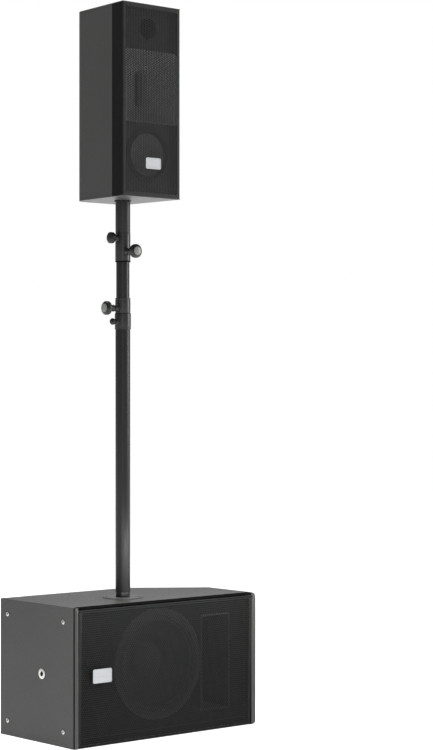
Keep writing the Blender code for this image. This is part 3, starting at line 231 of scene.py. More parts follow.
# matt black with no gloss: painted shade in the gap over the bass grille and in the pole's seams
SHADE_BLACK = powder_coat("painted_shade_black", (0.006, 0.006, 0.006), 0.9, 0.0)
FLANGE = powder_coat("flange_coat", (0.056, 0.058, 0.055), 0.48, 0.45)
TUBE = surface(  # drawn tube, with faint streaks along it
    "tube_coat", (0.011, 0.012, 0.011), 0.38, 0, [((900, 2, (1, 1, 0.02)), 0.00003, 0.5)],
    ((120, 2, (1, 1, 0.04)), 1.15, 0.85), ((260, 3, (1, 1, 0.05)), 0.07), Specular_IOR_Level=0.36,
)
FITTING = moulded("fitting_plastic", (0.015, 0.016, 0.015), 0.34)
KNOB = moulded("knob_plastic", (0.004, 0.004, 0.004), 0.32)
KNOB_FACE = moulded("knob_face", (0.20, 0.21, 0.20), 0.30)
PLASTIC = moulded("moulded_black", (0.028, 0.028, 0.029), 0.42)
HORN = moulded("horn_plastic", (0.26, 0.27, 0.26), 0.45)
CIRCUIT = moulded("circuit_board", (0.040, 0.130, 0.060), 0.5)
RUBBER = surface(
    "surround_rubber", (0.020, 0.020, 0.020), 0.62, 0, [((1200, 2), 0.00005, 0.4)], patches=((90, 2), 0.08)
)
PAPER = paper("bass_paper", (0.018, 0.019, 0.018))
LIGHT_PAPER = paper("mid_paper", (0.20, 0.205, 0.20))
CASTING = cast("frame_casting", (0.040, 0.040, 0.042), 0.45, 0.6)
FERRITE = cast("motor_ferrite", (0.060, 0.060, 0.062), 0.6, 0.3)
COPPER = cast("coil_copper", (0.55, 0.25, 0.12), 0.35, 1.0)
ZINC = surface(
    "zinc_steel", (0.62, 0.62, 0.60), 0.32, 1, [((1900, 2), 0.00002, 0.4)], ((500, 2), 1.05, 0.85),
    ((700, 3), 0.08),
)
SILVER = surface(
    "brushed_silver", (0.42, 0.43, 0.44), 0.38, 0.9, [((1800, 2, BRUSHED), 0.00002, 0.5)],
    ((600, 2, BRUSHED), 1.05, 0.92), ((900, 2, BRUSHED), 0.1),
)
CLOTH = surface("spider_cloth", (0.50, 0.33, 0.12), 0.9, 0, [((2200, 2), 0.0002, 0.7)], ((300, 2), 1.1, 0.8))


# --- mesh helpers


def finish_piece(piece, look, body, nodes=(), slot=None, sharp=35):
    """Shades a new piece, gives it its material and its body, and hides the CAD nodes that it stands for."""
    piece.data.materials.clear()
    piece.data.materials.append(look)
    piece.data.shade_smooth()
    piece.data.set_sharp_from_angle(angle=math.radians(sharp))
    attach(piece, body)
    if nodes:
        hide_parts(*nodes)
    return piece


def even_shading(piece):
    """Keeps large flat faces flat in shading, beside rounded edges."""
    normals = piece.modifiers.new("even_shading", "WEIGHTED_NORMAL")
    normals.weight = 100
    normals.keep_sharp = True
    return piece


def paint_shade(piece, chosen):
    """Paints the chosen faces of a piece with the baffle's matt black, as painted shade on faces that lie in
    shadow.
    """
    piece.data.materials.append(BAFFLE_BLACK_AND_SHADE)
    for polygon in piece.data.polygons:
        if chosen(polygon):
            polygon.material_index = len(piece.data.materials) - 1


def linked(name, data):
    made = bpy.data.objects.new(name, data)
    bpy.context.scene.collection.objects.link(made)
    return made


def new_piece(name, points, faces):
    mesh = bpy.data.meshes.new(name)
    mesh.from_pydata(points, [], faces)
    return linked(name, mesh)


def piece_of(name, cage):
    mesh = bpy.data.meshes.new(name)
    cage.to_mesh(mesh)
    cage.free()
    return linked(name, mesh)


def cage_of(mesh):
    cage = bmesh.new()
    cage.from_mesh(mesh)
    return cage


def arc(centre, radius, start, end, steps):
    angles = [math.radians(start + (end - start) * k / steps) for k in range(steps + 1)]
    return [(centre[0] + radius * math.cos(a), centre[1] + radius * math.sin(a)) for a in angles]


def fillet(profile, radius, closed):
    """Rounds a profile's corners, each no more than its neighbours leave room for."""
    points = [Vector(p[:2]) for p in profile]
    marks = [p[2:] for p in profile]
    rounded = []
    for k, here in enumerate(points):
        if not closed and k in (0, len(points) - 1):
            rounded.append((*here, *marks[k]))
            continue
        back, ahead = points[k - 1] - here, points[(k + 1) % len(points)] - here
        reach = min(radius, back.length * 0.45, ahead.length * 0.45)
        if reach < 1e-5 or marks[k] or abs(back.angle(ahead) - math.pi) < 0.3:
            rounded.append((*here, *marks[k]))
            continue
        start, end = here + back.normalized() * reach, here + ahead.normalized() * reach
        for step in range(FILLET_STEPS + 1):
            t = step / FILLET_STEPS
            rounded.append(tuple(start * (1 - t) ** 2 + here * 2 * t * (1 - t) + end * t**2))
    return rounded


def swell(kind, angle):
    """How far a point's radius is scaled at an angle: round, a hexagon, or a fluted grip."""
    if kind == "hex":
        return math.cos(math.pi / 6) / math.cos((angle + math.pi / 6) % (math.pi / 3) - math.pi / 6)
    if kind == "flute":
        return 1 - 0.045 * (0.5 - 0.5 * math.cos(18 * angle)) ** 2
    return 1.0


def turned(name, profile, at, axis, look, body, nodes=(), slot=None, segments=ROUND, radius=0.0, sharp=35):
    """A solid of revolution. Its profile holds (radius, height) pairs, some with a kind for swell."""
    closed = profile[0][0] > 1e-7
    if radius:
        profile = fillet(profile, radius, closed)
    axis = Vector(axis).normalized()
    across = axis.orthogonal().normalized()
    beside = axis.cross(across)
    at = Vector(at)
    points, rings = [], []
    for place in profile:
        reach, height, kind = (*place, "round")[:3]
        centre = at + axis * height
        if reach < 1e-7:
            rings.append([len(points)] * segments)
            points.append(centre)
            continue
        rings.append(list(range(len(points), len(points) + segments)))
        for k in range(segments):
            angle = 2 * math.pi * k / segments
            far = reach * swell(kind, angle)
            points.append(centre + across * far * math.cos(angle) + beside * far * math.sin(angle))
    faces = []
    pairs = list(zip(rings, rings[1:])) + ([(rings[-1], rings[0])] if closed else [])
    for first, second in pairs:
        for k in range(segments):
            follow = (k + 1) % segments
            faces.append(list(dict.fromkeys([first[k], first[follow], second[follow], second[k]])))
    piece = new_piece(name, points, faces)
    turn_outwards(piece)
    return finish_piece(piece, look, body, nodes, slot, sharp)


def turn_outwards(piece):
    cage = cage_of(piece.data)
    bmesh.ops.recalc_face_normals(cage, faces=cage.faces)
    if cage.calc_volume(signed=True) < 0:
        bmesh.ops.reverse_faces(cage, faces=cage.faces)
    cage.to_mesh(piece.data)
    cage.free()


def bevel(cage, edges, width, segments):
    bmesh.ops.bevel(
        cage, geom=edges, offset=width, segments=segments, profile=0.5, affect="EDGES", clamp_overlap=True
    )


def soften(cage, width, segments=3):
    """Rounds the edges that are sharper than 30 degrees."""
    sharp = [e for e in cage.edges if len(e.link_faces) == 2 and e.calc_face_angle() > math.radians(30)]
    bevel(cage, sharp, width, segments)


def rounded_copy(name, node, look, body, edge=BOARD_EDGE, slot="cabinet_lacquer"):
    """A CAD node's shape as one clean mesh with rounded edges."""
    cage = cage_of(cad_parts[node].data)
    bmesh.ops.remove_doubles(cage, verts=cage.verts, dist=0.00002)
    bmesh.ops.dissolve_limit(
        cage, angle_limit=math.radians(1), verts=cage.verts, edges=cage.edges, delimit=set()
    )
    soften(cage, edge)
    return even_shading(finish_piece(piece_of(name, cage), look, body, [node], slot))


def outline_cage(loops, thickness):
    """A flat board in the local XY plane; the loops after the first are holes."""
    curve = bpy.data.curves.new("outline", "CURVE")
    curve.dimensions = "2D"
    curve.fill_mode = "BOTH"
    curve.extrude = thickness / 2
    for loop in loops:
        spline = curve.splines.new("POLY")
        spline.points.add(len(loop) - 1)
        for point, (x, y) in zip(spline.points, loop):
            point.co = (x, y, 0, 1)
        spline.use_cyclic_u = True
    guide = linked("outline", curve)
    seen = guide.evaluated_get(bpy.context.evaluated_depsgraph_get())
    mesh = bpy.data.meshes.new_from_object(seen)
    bpy.data.objects.remove(guide)
    cage = cage_of(mesh)
    bpy.data.meshes.remove(mesh)
    bmesh.ops.remove_doubles(cage, verts=cage.verts, dist=0.00001)
    return cage


def board(name, loops, thickness, matrix, look, body, nodes=(), edge=BOARD_EDGE, slot=None):
    cage = outline_cage(loops, thickness)
    soften(cage, edge)
    cage.transform(matrix)
    bmesh.ops.recalc_face_normals(cage, faces=cage.faces)
    return even_shading(finish_piece(piece_of(name, cage), look, body, nodes, slot))


def circle(centre, radius, facets=48):
    return arc(centre, radius, 0, 360 - 360 / facets, facets - 1)


def rounded_rectangle(centre, width, height, radius, steps=6):
    x, y = width / 2 - radius, height / 2 - radius
    points = []
    for sx, sy, start in ((1, 1, 0), (-1, 1, 90), (-1, -1, 180), (1, -1, 270)):
        points += arc((centre[0] + sx * x, centre[1] + sy * y), radius, start, start + 90, steps)
    return points


def facing(origin, right, up):
    """The matrix that lays local X and Y along two world directions, at an origin."""
    right, up = Vector(right), Vector(up)
    matrix = Matrix((right, up, right.cross(up))).transposed().to_4x4()
    return Matrix.Translation(origin) @ matrix


# --- perforated sheet


def bent_path(corners, radius, steps=8):
    """Points and outward normals along a sheet that is bent at its inner corners."""
    places = []
    for k, corner in enumerate(corners):
        here = Vector(corner)
        if k in (0, len(corners) - 1):
            other = Vector(corners[1] if k == 0 else corners[-2])
            along = (other - here if k == 0 else here - other).normalized()
            places.append((here, Vector((along.y, -along.x))))
            continue
        before = (here - Vector(corners[k - 1])).normalized()
        after = (Vector(corners[k + 1]) - here).normalized()
        turn = before.angle(after)
        reach = radius * math.tan(turn / 2)
        first = Vector((before.y, -before.x))
        last = Vector((after.y, -after.x))
        centre = here - before * reach - first * radius
        for step in range(steps + 1):
            normal = first.slerp(last, step / steps)
            places.append((centre + normal * radius, normal))
    return places


def perforated(name, corners, across, lay, look, body, nodes, slot):
    """A bent sheet with staggered hexagonal holes in its middle face.

    corners are the sheet's outer bends in a plane, across is its two ends along the third direction, and
    lay turns a point in the plane and a place along that direction into the frame's coordinates.
    """
    path = bent_path(corners, GRILLE_BEND)
    half = len(path) // 2
    start, end = path[half - 1][0], path[half][0]
    face = (end - start).length
    along, normal = (end - start).normalized(), path[half][1]
    row_step = HOLE_PITCH * math.sqrt(3) / 2
    rows = int((face - 2 * GRILLE_MARGIN) / row_step)
    first_row = (face - rows * row_step) / 2
    stations = path[:half]
    stations += [(start + along * (first_row + row_step * k), normal) for k in range(rows + 1)]
    stations += path[half:]
    pairs = int((across[1] - across[0] - 2 * GRILLE_MARGIN) / HOLE_PITCH)
    left = (across[0] + across[1] - pairs * HOLE_PITCH) / 2
    columns = [across[0], *[left + HOLE_PITCH / 2 * k for k in range(2 * pairs + 1)], across[1]]
    wide, tall = len(columns), len(stations)

    points = []
    for depth in (0, GRILLE_SHEET):
        for place, out in stations:
            inner = place - out * depth
            points += [lay(inner, column) for column in columns]
    layer = wide * tall

    def at(row, column, back=0):
        return back * layer + row * wide + column

    faces = []

    def plain(row, column):
        corners_of = [(row, column), (row, column + 1), (row + 1, column + 1), (row + 1, column)]
        faces.append([at(*corner) for corner in corners_of])
        faces.append([at(*corner, 1) for corner in reversed(corners_of)])

    def pierced(row, column):
        centre = (stations[row][0] + stations[row + 1][0]) / 2
        outline = [(row, column + k) for k in range(3)] + [(row + 1, column + k) for k in (2, 1, 0)]
        first = len(points)
        for depth in (0, GRILLE_SHEET):
            for corner in range(6):
                angle = math.radians(210 + 60 * corner)
                point = centre + along * HOLE_RADIUS * math.sin(angle) - normal * depth
                points.append(lay(point, columns[column + 1] + HOLE_RADIUS * math.cos(angle)))
        for k in range(6):
            follow = (k + 1) % 6
            a, b = first + k, first + follow
            faces.append([at(*outline[k]), at(*outline[follow]), b, a])
            faces.append([a + 6, b + 6, at(*outline[follow], 1), at(*outline[k], 1)])
            faces.append([a, b, b + 6, a + 6])

    for row in range(tall - 1):
        column = 0
        odd = (row - half) % 2
        holed = half <= row < half + rows
        while column < wide - 1:
            if holed and column >= 1 + odd and column + 2 <= wide - 2:
                pierced(row, column)
                column += 2
            else:
                plain(row, column)
                column += 1
    def rim(here, follow):
        faces.append([at(*here), at(*follow), at(*follow, 1), at(*here, 1)])

    for row in range(tall - 1):
        rim((row, 0), (row + 1, 0))
        rim((row + 1, wide - 1), (row, wide - 1))
    for column in range(wide - 1):
        rim((0, column + 1), (0, column))
        rim((tall - 1, column), (tall - 1, column + 1))
    piece = new_piece(name, points, faces)
    turn_outwards(piece)
    return finish_piece(piece, look, body, nodes, slot, 50)


# --- subwoofer


def countersunk_screw(name, at, axis, head, look, body, nodes=(), length=0.0, slot="screw_steel"):
    """A raised countersunk head with a hexagon socket; its face stands a little proud of the surface."""
    socket, depth, rise = head * 0.46, head * 0.55, head * 0.22
    profile = [
        (0, rise - depth), (socket, rise - depth, "hex"), (socket, rise * 0.9, "hex"), (head * 0.55, rise),
        (head * 0.88, rise * 0.55), (head, 0), (head * 0.93, -head * 0.1), (head * 0.4, -head * 0.55),
    ]
    profile += [(head * 0.4, -length), (0, -length)] if length else [(0, -head * 0.6)]
    return turned(name, profile, at, axis, look, body, nodes, slot, SMALL + 8, sharp=40)


def screw_circle(label, at, axis, radius, count, head, body, slot="screw_steel"):
    """Black screws evenly round an axis, the first of them half a step on from X."""
    up = Vector(axis).cross(X)
    for k in range(count):
        angle = math.pi / count + 2 * math.pi * k / count
        place = Vector(at) + X * radius * math.cos(angle) + up * radius * math.sin(angle)
        countersunk_screw(f"{label}_{k + 1}", place, axis, head, KNOB, body, slot=slot)


def washer_recess(name, at, axis, radius, body):
    """The dark cup washer that the screw's head sits in."""
    profile = [(radius, 0.0006), (radius * 1.12, 0.0004), (radius * 1.15, 0), (radius * 0.95, -0.0004)]
    return turned(name, profile, at, axis, KNOB, body, segments=SMALL + 8)


def carve(piece, cutters):
    """Cuts each cutter from a piece and throws the cutters away."""
    for cutter in cutters:
        cut = piece.modifiers.new("cut", "BOOLEAN")
        cut.operation = "DIFFERENCE"
        cut.object = cutter
        cut.solver = "EXACT"
    seen = piece.evaluated_get(bpy.context.evaluated_depsgraph_get())
    mesh = bpy.data.meshes.new_from_object(seen)
    piece.modifiers.clear()
    piece.data = mesh
    for cutter in cutters:
        bpy.data.objects.remove(cutter)


def upright_cutter(outline):
    """A prism along Z from an outline in X and Y, taller than the bass cabinet."""
    cage = outline_cage([outline], SUB_TOP + 0.04)
    cage.transform(Matrix.Translation((0, 0, SUB_TOP / 2)))
    bmesh.ops.recalc_face_normals(cage, faces=cage.faces)
    return piece_of("cutter", cage)


def side_rebate(node, side):
    """Clears the grille's return and slopes the front edge in towards it."""
    low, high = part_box(node)
    inner, front = (low.x if side > 0 else high.x), low.y
    lap, back = inner + side * SIDE_LAP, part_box("sub_grille")[1].y + 0.0005
    far, ahead = inner - side * 0.01, front - 0.01
    outline = [
        (far, back), (lap, back), (lap, front + SIDE_BEVEL), (lap + side * SIDE_BEVEL, front),
        (lap + side * SIDE_BEVEL, ahead), (far, ahead),
    ]
    return upright_cutter(outline)


def side_groove(node, side):
    """The shadow groove that sets the front frame off from the side."""
    low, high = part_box(node)
    outer, front = (high.x if side > 0 else low.x), low.y
    near, far = outer + side * 0.01, outer - side * GROOVE_DEPTH
    start, end = front + GROOVE_START, front + GROOVE_END
    return upright_cutter([(near, start), (near, end), (far, end), (far, start)])


def side_shape(node, side, insert):
    """A side board before its cuts: round front corners, and a mitre where it meets the angled board."""
    low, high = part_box(node)
    radius = SIDE_CORNER
    outline = [
        (high.y, low.z), *arc((low.y + radius, low.z + radius), radius, 270, 180, 12),
        *arc((low.y + radius, high.z - radius), radius, 180, 90, 12), (high.y, high.z),
    ]
    cage = outline_cage([outline, circle((insert.y, insert.z), INSERT_HOLE)], high.x - low.x)
    cage.transform(facing(((low.x + high.x) / 2, 0, 0), Y, Z))
    if side > 0:
        outer, inner = side_at(node, high.x), side_at(node, low.x)
        cut = bmesh.ops.bisect_plane(
            cage, geom=[*cage.verts, *cage.edges, *cage.faces], plane_co=(high.x, outer, 0),
            plane_no=Z.cross(Vector((high.x - low.x, outer - inner, 0))), clear_outer=True,
        )
        mitre = [e for e in cut["geom_cut"] if isinstance(e, bmesh.types.BMEdge)]
        bmesh.ops.contextual_create(cage, geom=mitre)
    bmesh.ops.recalc_face_normals(cage, faces=cage.faces)
    face = high.x if side > 0 else low.x
    rim = [
        e for e in cage.edges
        if all(abs(v.co.x - face) < 0.00001 for v in e.verts)
        and abs(e.verts[0].co.y - insert.y) > 0.02 and e.calc_face_angle(0) > 0.5
    ]
    bevel(cage, rim, SIDE_EDGE, 5)
    return cage


def side_board(label, side):
    node = f"sub_side_{label}"
    low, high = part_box(node)
    face, inside = (high.x, low.x) if side > 0 else (low.x, high.x)
    insert = middle(f"yoke_insert_{label}")
    piece = piece_of(f"side_board_{label}", side_shape(node, side, insert))
    carve(piece, [side_rebate(node, side), side_groove(node, side)])
    cage = cage_of(piece.data)
    bmesh.ops.remove_doubles(cage, verts=cage.verts, dist=0.00002)
    soften(cage, BOARD_EDGE / 2)
    cage.to_mesh(piece.data)
    cage.free()
    even_shading(finish_piece(piece, LACQUER, SUB, [node], "cabinet_lacquer"))
    lap = abs(inside) + SIDE_LAP + 0.0002
    rebate_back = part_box("sub_grille")[1].y + 0.0007
    groove_floor = abs(face) - GROOVE_DEPTH * 0.3

    # the groove's floor and the rebate behind the grille's edge are painted black: painted shade for the shadow
    # in them
    def in_painted_shade(polygon):
        x, y = abs(polygon.center.x), polygon.center.y
        in_groove = GROOVE_START < y - low.y < GROOVE_END and lap < x < groove_floor
        return in_groove or (x < lap and y < rebate_back)

    paint_shade(piece, in_painted_shade)

    out = X * side
    for number in range(1, 5):
        screw = f"screw_{label}_{number}"
        at = (face, middle(screw).y, middle(screw).z)
        countersunk_screw(f"side_{screw}", at, out, SIDE_SCREW_HEAD, ZINC, SUB, [screw], SIDE_SCREW_LENGTH)
        washer_recess(f"recess_{label}_{number}", at, out, SIDE_SCREW_HEAD + 0.0002, SUB)
    yoke_insert(label, (face, insert.y, insert.z), out)


def yoke_insert(label, at, out):
    """A bright flange round a black sleeve with thread ridges down its bore."""
    bore, flange, barrel, depth = 0.0046, 0.0122, 0.0085, 0.0148
    pitch, ridge, rise = 0.0015, 0.0004, 0.0012
    ring = [
        (flange, 0.0001), (flange, rise - 0.0004), (flange - 0.0012, rise), (bore + 0.0016, rise),
        (bore + 0.0010, rise - 0.0006), (bore + 0.0010, 0.0001),
    ]
    turned(f"insert_{label}", ring, at, out, ZINC, SUB, [f"yoke_insert_{label}"], "screw_steel", sharp=30)
    sleeve = [(bore + 0.0009, 0.0006)]
    for k in range(int(depth / pitch)):
        height = 0.0002 - pitch * k
        sleeve += [(bore + ridge, height), (bore, height - pitch / 2)]
    sleeve += [(0, -depth + 0.0018), (0, -depth), (barrel, -depth), (barrel, 0.00005), (bore + 0.0009, 0.00005)]
    turned(f"insert_{label}_sleeve", sleeve[:-1], at, out, KNOB, SUB, slot="screw_steel", sharp=30)


def sub_grille():
    low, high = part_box("sub_grille")
    wide = high.x + SIDE_LAP - 0.0006
    top, front = high.z - GRILLE_DROP, low.y + 0.0040
    corners = [(high.y, low.z), (front, low.z), (front, top), (high.y, top)]

    def lay(place, across):
        return (across, place[0], place[1])

    perforated("bass_grille", corners, (-wide, wide), lay, GRILLE, SUB, ["sub_grille"], "grille_black")

    # a matt black strip over the grille's top return: painted shade for the gap under the cabinet's top
    back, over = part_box("sub_top_board")[0].y - 0.0003, top + 0.0002
    section = [
        (back, over), (front + 0.0010, over), (front + 0.0016, over + 0.0005), (back, high.z - 0.0004),
    ]
    foam = facing((0, 0, 0), Y, Z)
    board("shade_strip", [section], 2 * high.x, foam, SHADE_BLACK, SUB, (), 0.0002, "moulded_black")


def badge(name, node, body):
    """A plain plate with a raised rim round a satin field."""
    low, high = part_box(node)
    centre = (low + high) / 2
    width, height = high.x - low.x, high.z - low.z
    rim = 0.0024
    outer = rounded_rectangle((0, 0), width, height, 0.004)
    window = rounded_rectangle((0, 0), width - 2 * rim, height - 2 * rim, 0.0025)
    frame_at = facing((centre.x, (low.y + high.y) / 2, centre.z), X, Z)
    board(name, [outer, window], high.y - low.y, frame_at, SILVER, body, [node], 0.0003, "badge_silver")
    field = rounded_rectangle((0, 0), width - 2 * rim - 0.0002, height - 2 * rim - 0.0002, 0.0025)
    back_at = facing((centre.x, high.y - 0.0003, centre.z), X, Z)
    board(f"{name}_field", [field], 0.0006, back_at, SILVER, body, (), 0.0001, "badge_silver")


def half_roll(inner, outer, base, rise, wall, steps=14):
    """A surround's section: glue flanges at both edges and an arch between them."""
    centre, reach = (inner + outer) / 2, (outer - inner) / 2
    top = [(centre + reach * math.cos(a), base + rise * math.sin(a)) for a in np.linspace(math.pi, 0, steps)]
    under = [
        (centre + (reach - wall) * math.cos(a), base + (rise - wall) * math.sin(a))
        for a in np.linspace(0, math.pi, steps)
    ]
    return [(inner - 0.004, base), *top, (outer + 0.002, base), (outer + 0.002, base - wall), *under,
            (inner - 0.004, base - wall)]


def driver(label, prefix, still, look, ledge, wall, throat, depth, cap_radius, cap_rise):
    """A cone driver seen from the front: ring, surround, ribbed cone and dust cap.

    prefix starts the names of its nodes and of its moving body. The cone narrows to throat over its depth, and
    ledge is how far back the basket's rim reaches.
    """
    moving = f"{prefix}_moving"
    low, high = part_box(f"{prefix}_frame")
    cone_low, cone_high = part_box(f"{prefix}_cone")
    roll_low, roll_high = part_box(f"{prefix}_surround")
    radius = (high.x - low.x) / 2
    cone_radius = (cone_high.x - cone_low.x) / 2
    roll_radius = (roll_high.x - roll_low.x) / 2
    front = -Y
    at = Vector(((low.x + high.x) / 2, low.y, (low.z + high.z) / 2))

    def z(y):
        return low.y - y

    back = z(high.y)
    ring_inner = roll_radius + 0.0005
    profile = [
        (radius, -0.0035), (radius, -0.0008), (radius - 0.001, 0), (ring_inner + 0.003, 0),
        (ring_inner, -0.001), (ring_inner, -ledge), (throat + 0.030, back + 0.002),
        (throat + 0.008, back + 0.002), (throat + 0.008, back), (throat + 0.032, back),
        (ring_inner + wall, -ledge), (ring_inner + wall, -0.0035),
    ]
    nodes = [f"{prefix}_frame"]
    turned(f"{label}_basket", profile, at, front, CASTING, still, nodes, "frame_casting", FINE, 0.0006)
    screw_circle(f"{label}_bolt", at, front, (radius + ring_inner) / 2 + 0.001, 8, 0.0030, still)
    gasket = [(ring_inner + 0.004, 0.0001), (ring_inner + 0.004, 0.0008), (ring_inner + 0.0002, 0.0008),
              (ring_inner + 0.0002, 0.0001)]
    turned(f"{label}_gasket", gasket, at, front, RUBBER, still, segments=FINE, radius=0.0003)
    base = z(roll_high.y)
    roll = half_roll(cone_radius + 0.0046, roll_radius - 0.0002, base, z(roll_low.y) - base, 0.0009)
    nodes = [f"{prefix}_surround"]
    turned(f"{label}_surround", roll, at, front, RUBBER, still, nodes, "surround_rubber", FINE, sharp=50)

    rim, foot = z(cone_low.y), z(cone_low.y) - depth
    top, under = [], []
    steps = 26
    for k in range(steps + 1):
        share = k / steps
        reach = cone_radius + (throat - cone_radius) * share
        sink = rim + (foot - rim) * (share + CONE_BULGE * math.sin(math.pi * share))
        ripple = 0.0004 * math.cos(share * 2 * math.pi * 5) if 0.1 < share < 0.75 else 0
        top.append((reach, sink + ripple))
        under.insert(0, (reach, sink - 0.0013))
    nodes = [f"{prefix}_cone"]
    turned(f"{label}_cone", [*top, *under], at, front, look, moving, nodes, "cone_paper", FINE, sharp=50)

    seat = foot + (rim - foot) * (cap_radius - throat) / (cone_radius - throat) + 0.001
    sphere = (cap_radius**2 + cap_rise**2) / (2 * cap_rise)
    centre = (0, seat + cap_rise - sphere)
    edge = 90 - math.degrees(math.asin(cap_radius / sphere))
    dome, hollow = arc(centre, sphere, 90, edge, 14), arc(centre, sphere - 0.001, edge, 90, 14)
    lip = [(cap_radius + 0.0022, seat - 0.0002), (cap_radius + 0.0022, seat - 0.001)]
    profile = [(0, dome[0][1]), *dome[1:], *lip, *hollow[:-1], (0, hollow[-1][1])]
    cap = f"{prefix}_dust_cap"
    nodes = [cap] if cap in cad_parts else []
    turned(f"{label}_dust_cap", profile, at, front, look, moving, nodes, "cone_paper", FINE, sharp=50)


def pole_flange():
    low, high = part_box("pole_flange")
    radius, rise = (high.x - low.x) / 2, high.z - SUB_TOP
    cup, bore, depth = 0.029, 0.0103, 0.028
    profile = [
        (radius, 0.0003), (radius, rise * 0.5), (radius - 0.0012, rise), (0.0185, rise),
        (0.0175, rise - 0.0006), (bore + 0.001, rise - 0.0006), (bore, rise - 0.0016), (bore, -depth),
        (cup, -depth), (cup, 0.0003),
    ]
    nodes = ["pole_flange"]
    turned("mount_flange", profile, on_pole(SUB_TOP), Z, FLANGE, SUB, nodes, "flange_painted", FINE, 0.0003)
    screw_circle("flange_screw", on_pole(high.z), Z, 0.0385, 4, 0.0034, SUB, "knob_plastic")


def rear_plate(name, node, body, sockets):
    """A plate with a screw in each corner, and the sockets in its holes, each given as a name and its node."""
    low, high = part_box(node)
    centre = (low + high) / 2
    width, height = high.x - low.x, high.z - low.z
    holes = [circle((middle(n).x - centre.x, middle(n).z - centre.z), 0.0123) for n in sockets.values()]
    outer = rounded_rectangle((0, 0), width, height, 0.004)
    at = facing(centre, X, Z)
    board(name, [outer, *holes], high.y - low.y, at, PLASTIC, body, [node], PLATE_EDGE, "moulded_black")
    inset = 0.0065
    spots = [(sx * (width / 2 - inset), sz * (height / 2 - inset)) for sx in (-1, 1) for sz in (-1, 1)]
    for number, (x, z) in enumerate(spots, 1):
        place = (centre.x + x, high.y, centre.z + z)
        countersunk_screw(f"{name}_screw_{number}", place, Y, 0.0030, KNOB, body, slot="knob_plastic")
    for socket in sockets.items():
        chassis_socket(*socket, body)


def chassis_socket(name, node, body):
    """A round locking socket: a flange, a keyed well and a core with a contact ring."""
    low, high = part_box(node)
    at = (middle(node).x, high.y, middle(node).z)
    outer, barrel = (high.x - low.x) / 2, 0.0120
    depth = high.y - low.y
    well, floor = 0.0100, -0.016
    profile = [
        (0, floor), (well, floor), (well, -0.0012), (well + 0.0012, 0), (outer - 0.0012, 0), (outer, -0.0012),
        (outer, -0.0020), (barrel, -0.0020), (barrel, -depth), (0, -depth),
    ]
    turned(name, profile, at, Y, PLASTIC, body, [node], "moulded_black", ROUND, 0.0003)
    core = [(0, -0.0035), (0.0042, -0.0035), (0.0055, -0.0048), (0.0055, floor + 0.0002), (0, floor + 0.0002)]
    turned(f"{name}_core", core, at, Y, KNOB, body, segments=SMALL, radius=0.0004)
    ring = [(0.0059, -0.0075), (0.0059, -0.0105), (0.0055, -0.0105), (0.0055, -0.0075)]
    turned(f"{name}_contact", ring, at, Y, ZINC, body, segments=SMALL)
    for k in (0, 1):
        angle = math.pi / 4 + math.pi * k
        place = Vector(at) + Vector((math.cos(angle), 0, math.sin(angle))) * 0.0124
        countersunk_screw(f"{name}_pin_{k + 1}", place, Y, 0.0013, ZINC, body)


def subwoofer():
    side_board("left", -1)
    side_board("right", 1)
    for label in ("top", "bottom"):
        piece = rounded_copy(f"{label}_board", f"sub_{label}_board", LACQUER, SUB)
        # the boards' front edges are painted black: painted shade for the gap behind the grille
        paint_shade(piece, lambda polygon: polygon.normal.y < -0.9)
    rounded_copy("back_board", "sub_back_board", LACQUER, SUB)
    rounded_copy("corner_board", "sub_angled_board", LACQUER, SUB)
    rounded_copy("bass_baffle", "sub_baffle", BAFFLE_BLACK_AND_SHADE, SUB)
    rounded_copy("port_duct", "sub_port_duct", PLASTIC, SUB, 0.0015, "moulded_black")
    sub_grille()
    badge("bass_badge", "sub_badge", SUB)
    driver(
        "bass", "woofer", SUB, PAPER, ledge=0.014, wall=0.003, throat=0.034, depth=0.053, cap_radius=0.046,
        cap_rise=0.014,
    )
    pole_flange()
    sockets = {"bass_socket_input": "sub_socket_input", "bass_socket_link": "sub_socket_link"}
    rear_plate("bass_plate", "sub_connector_plate", SUB, sockets)


# --- pole


def sleeve(name, body, bore, look, slot, lip, grooves=()):
    """A hollow piece round the pole's axis, with turned grooves at heights above its foot."""
    node = f"pole_{name}"
    low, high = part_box(node)
    radius, length = radius_from_pole(node), high.z - low.z
    side = [(radius, 0)]
    for height in grooves:
        side += [(radius, height - 0.0006), (radius - 0.0005, height), (radius, height + 0.0006)]
    profile = [*side, (radius, length), (bore, length), (bore, 0)]
    turned(name, profile, on_pole(low.z), Z, look, body, [node], slot, ROUND, lip)


def tube(name, body):
    bore = radius_from_pole(f"pole_{name}") - TUBE_WALL
    sleeve(name, body, bore, TUBE, "tube_black", TUBE_EDGE)


def collar(name, body, grooves):
    bore = 0.0160 if radius_from_pole(f"pole_{name}") < 0.0185 else 0.0178
    sleeve(name, body, bore, FITTING, "fitting_plastic", 0.0010, grooves)


def boss(name, height, direction, start, end, radius, body):
    """A round boss with a flared foot on a collar."""
    profile = [
        (0.0048, start), (radius + 0.0016, start), (radius + 0.0010, start + 0.0020), (radius, start + 0.0036),
        (radius, end - 0.0008), (radius - 0.0010, end), (0.0048, end),
    ]
    turned(name, profile, on_pole(height), direction, FITTING, body, (), "fitting_plastic", SMALL + 8, 0.0004)


def reach_of(node, direction):
    """A node's nearest and farthest distance from the pole's axis along a direction, and its height."""
    low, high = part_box(node)
    origin = on_pole((low.z + high.z) / 2)
    spans = [(corner - origin).dot(direction) for corner in (low, high)]
    return min(spans), max(spans), origin.z


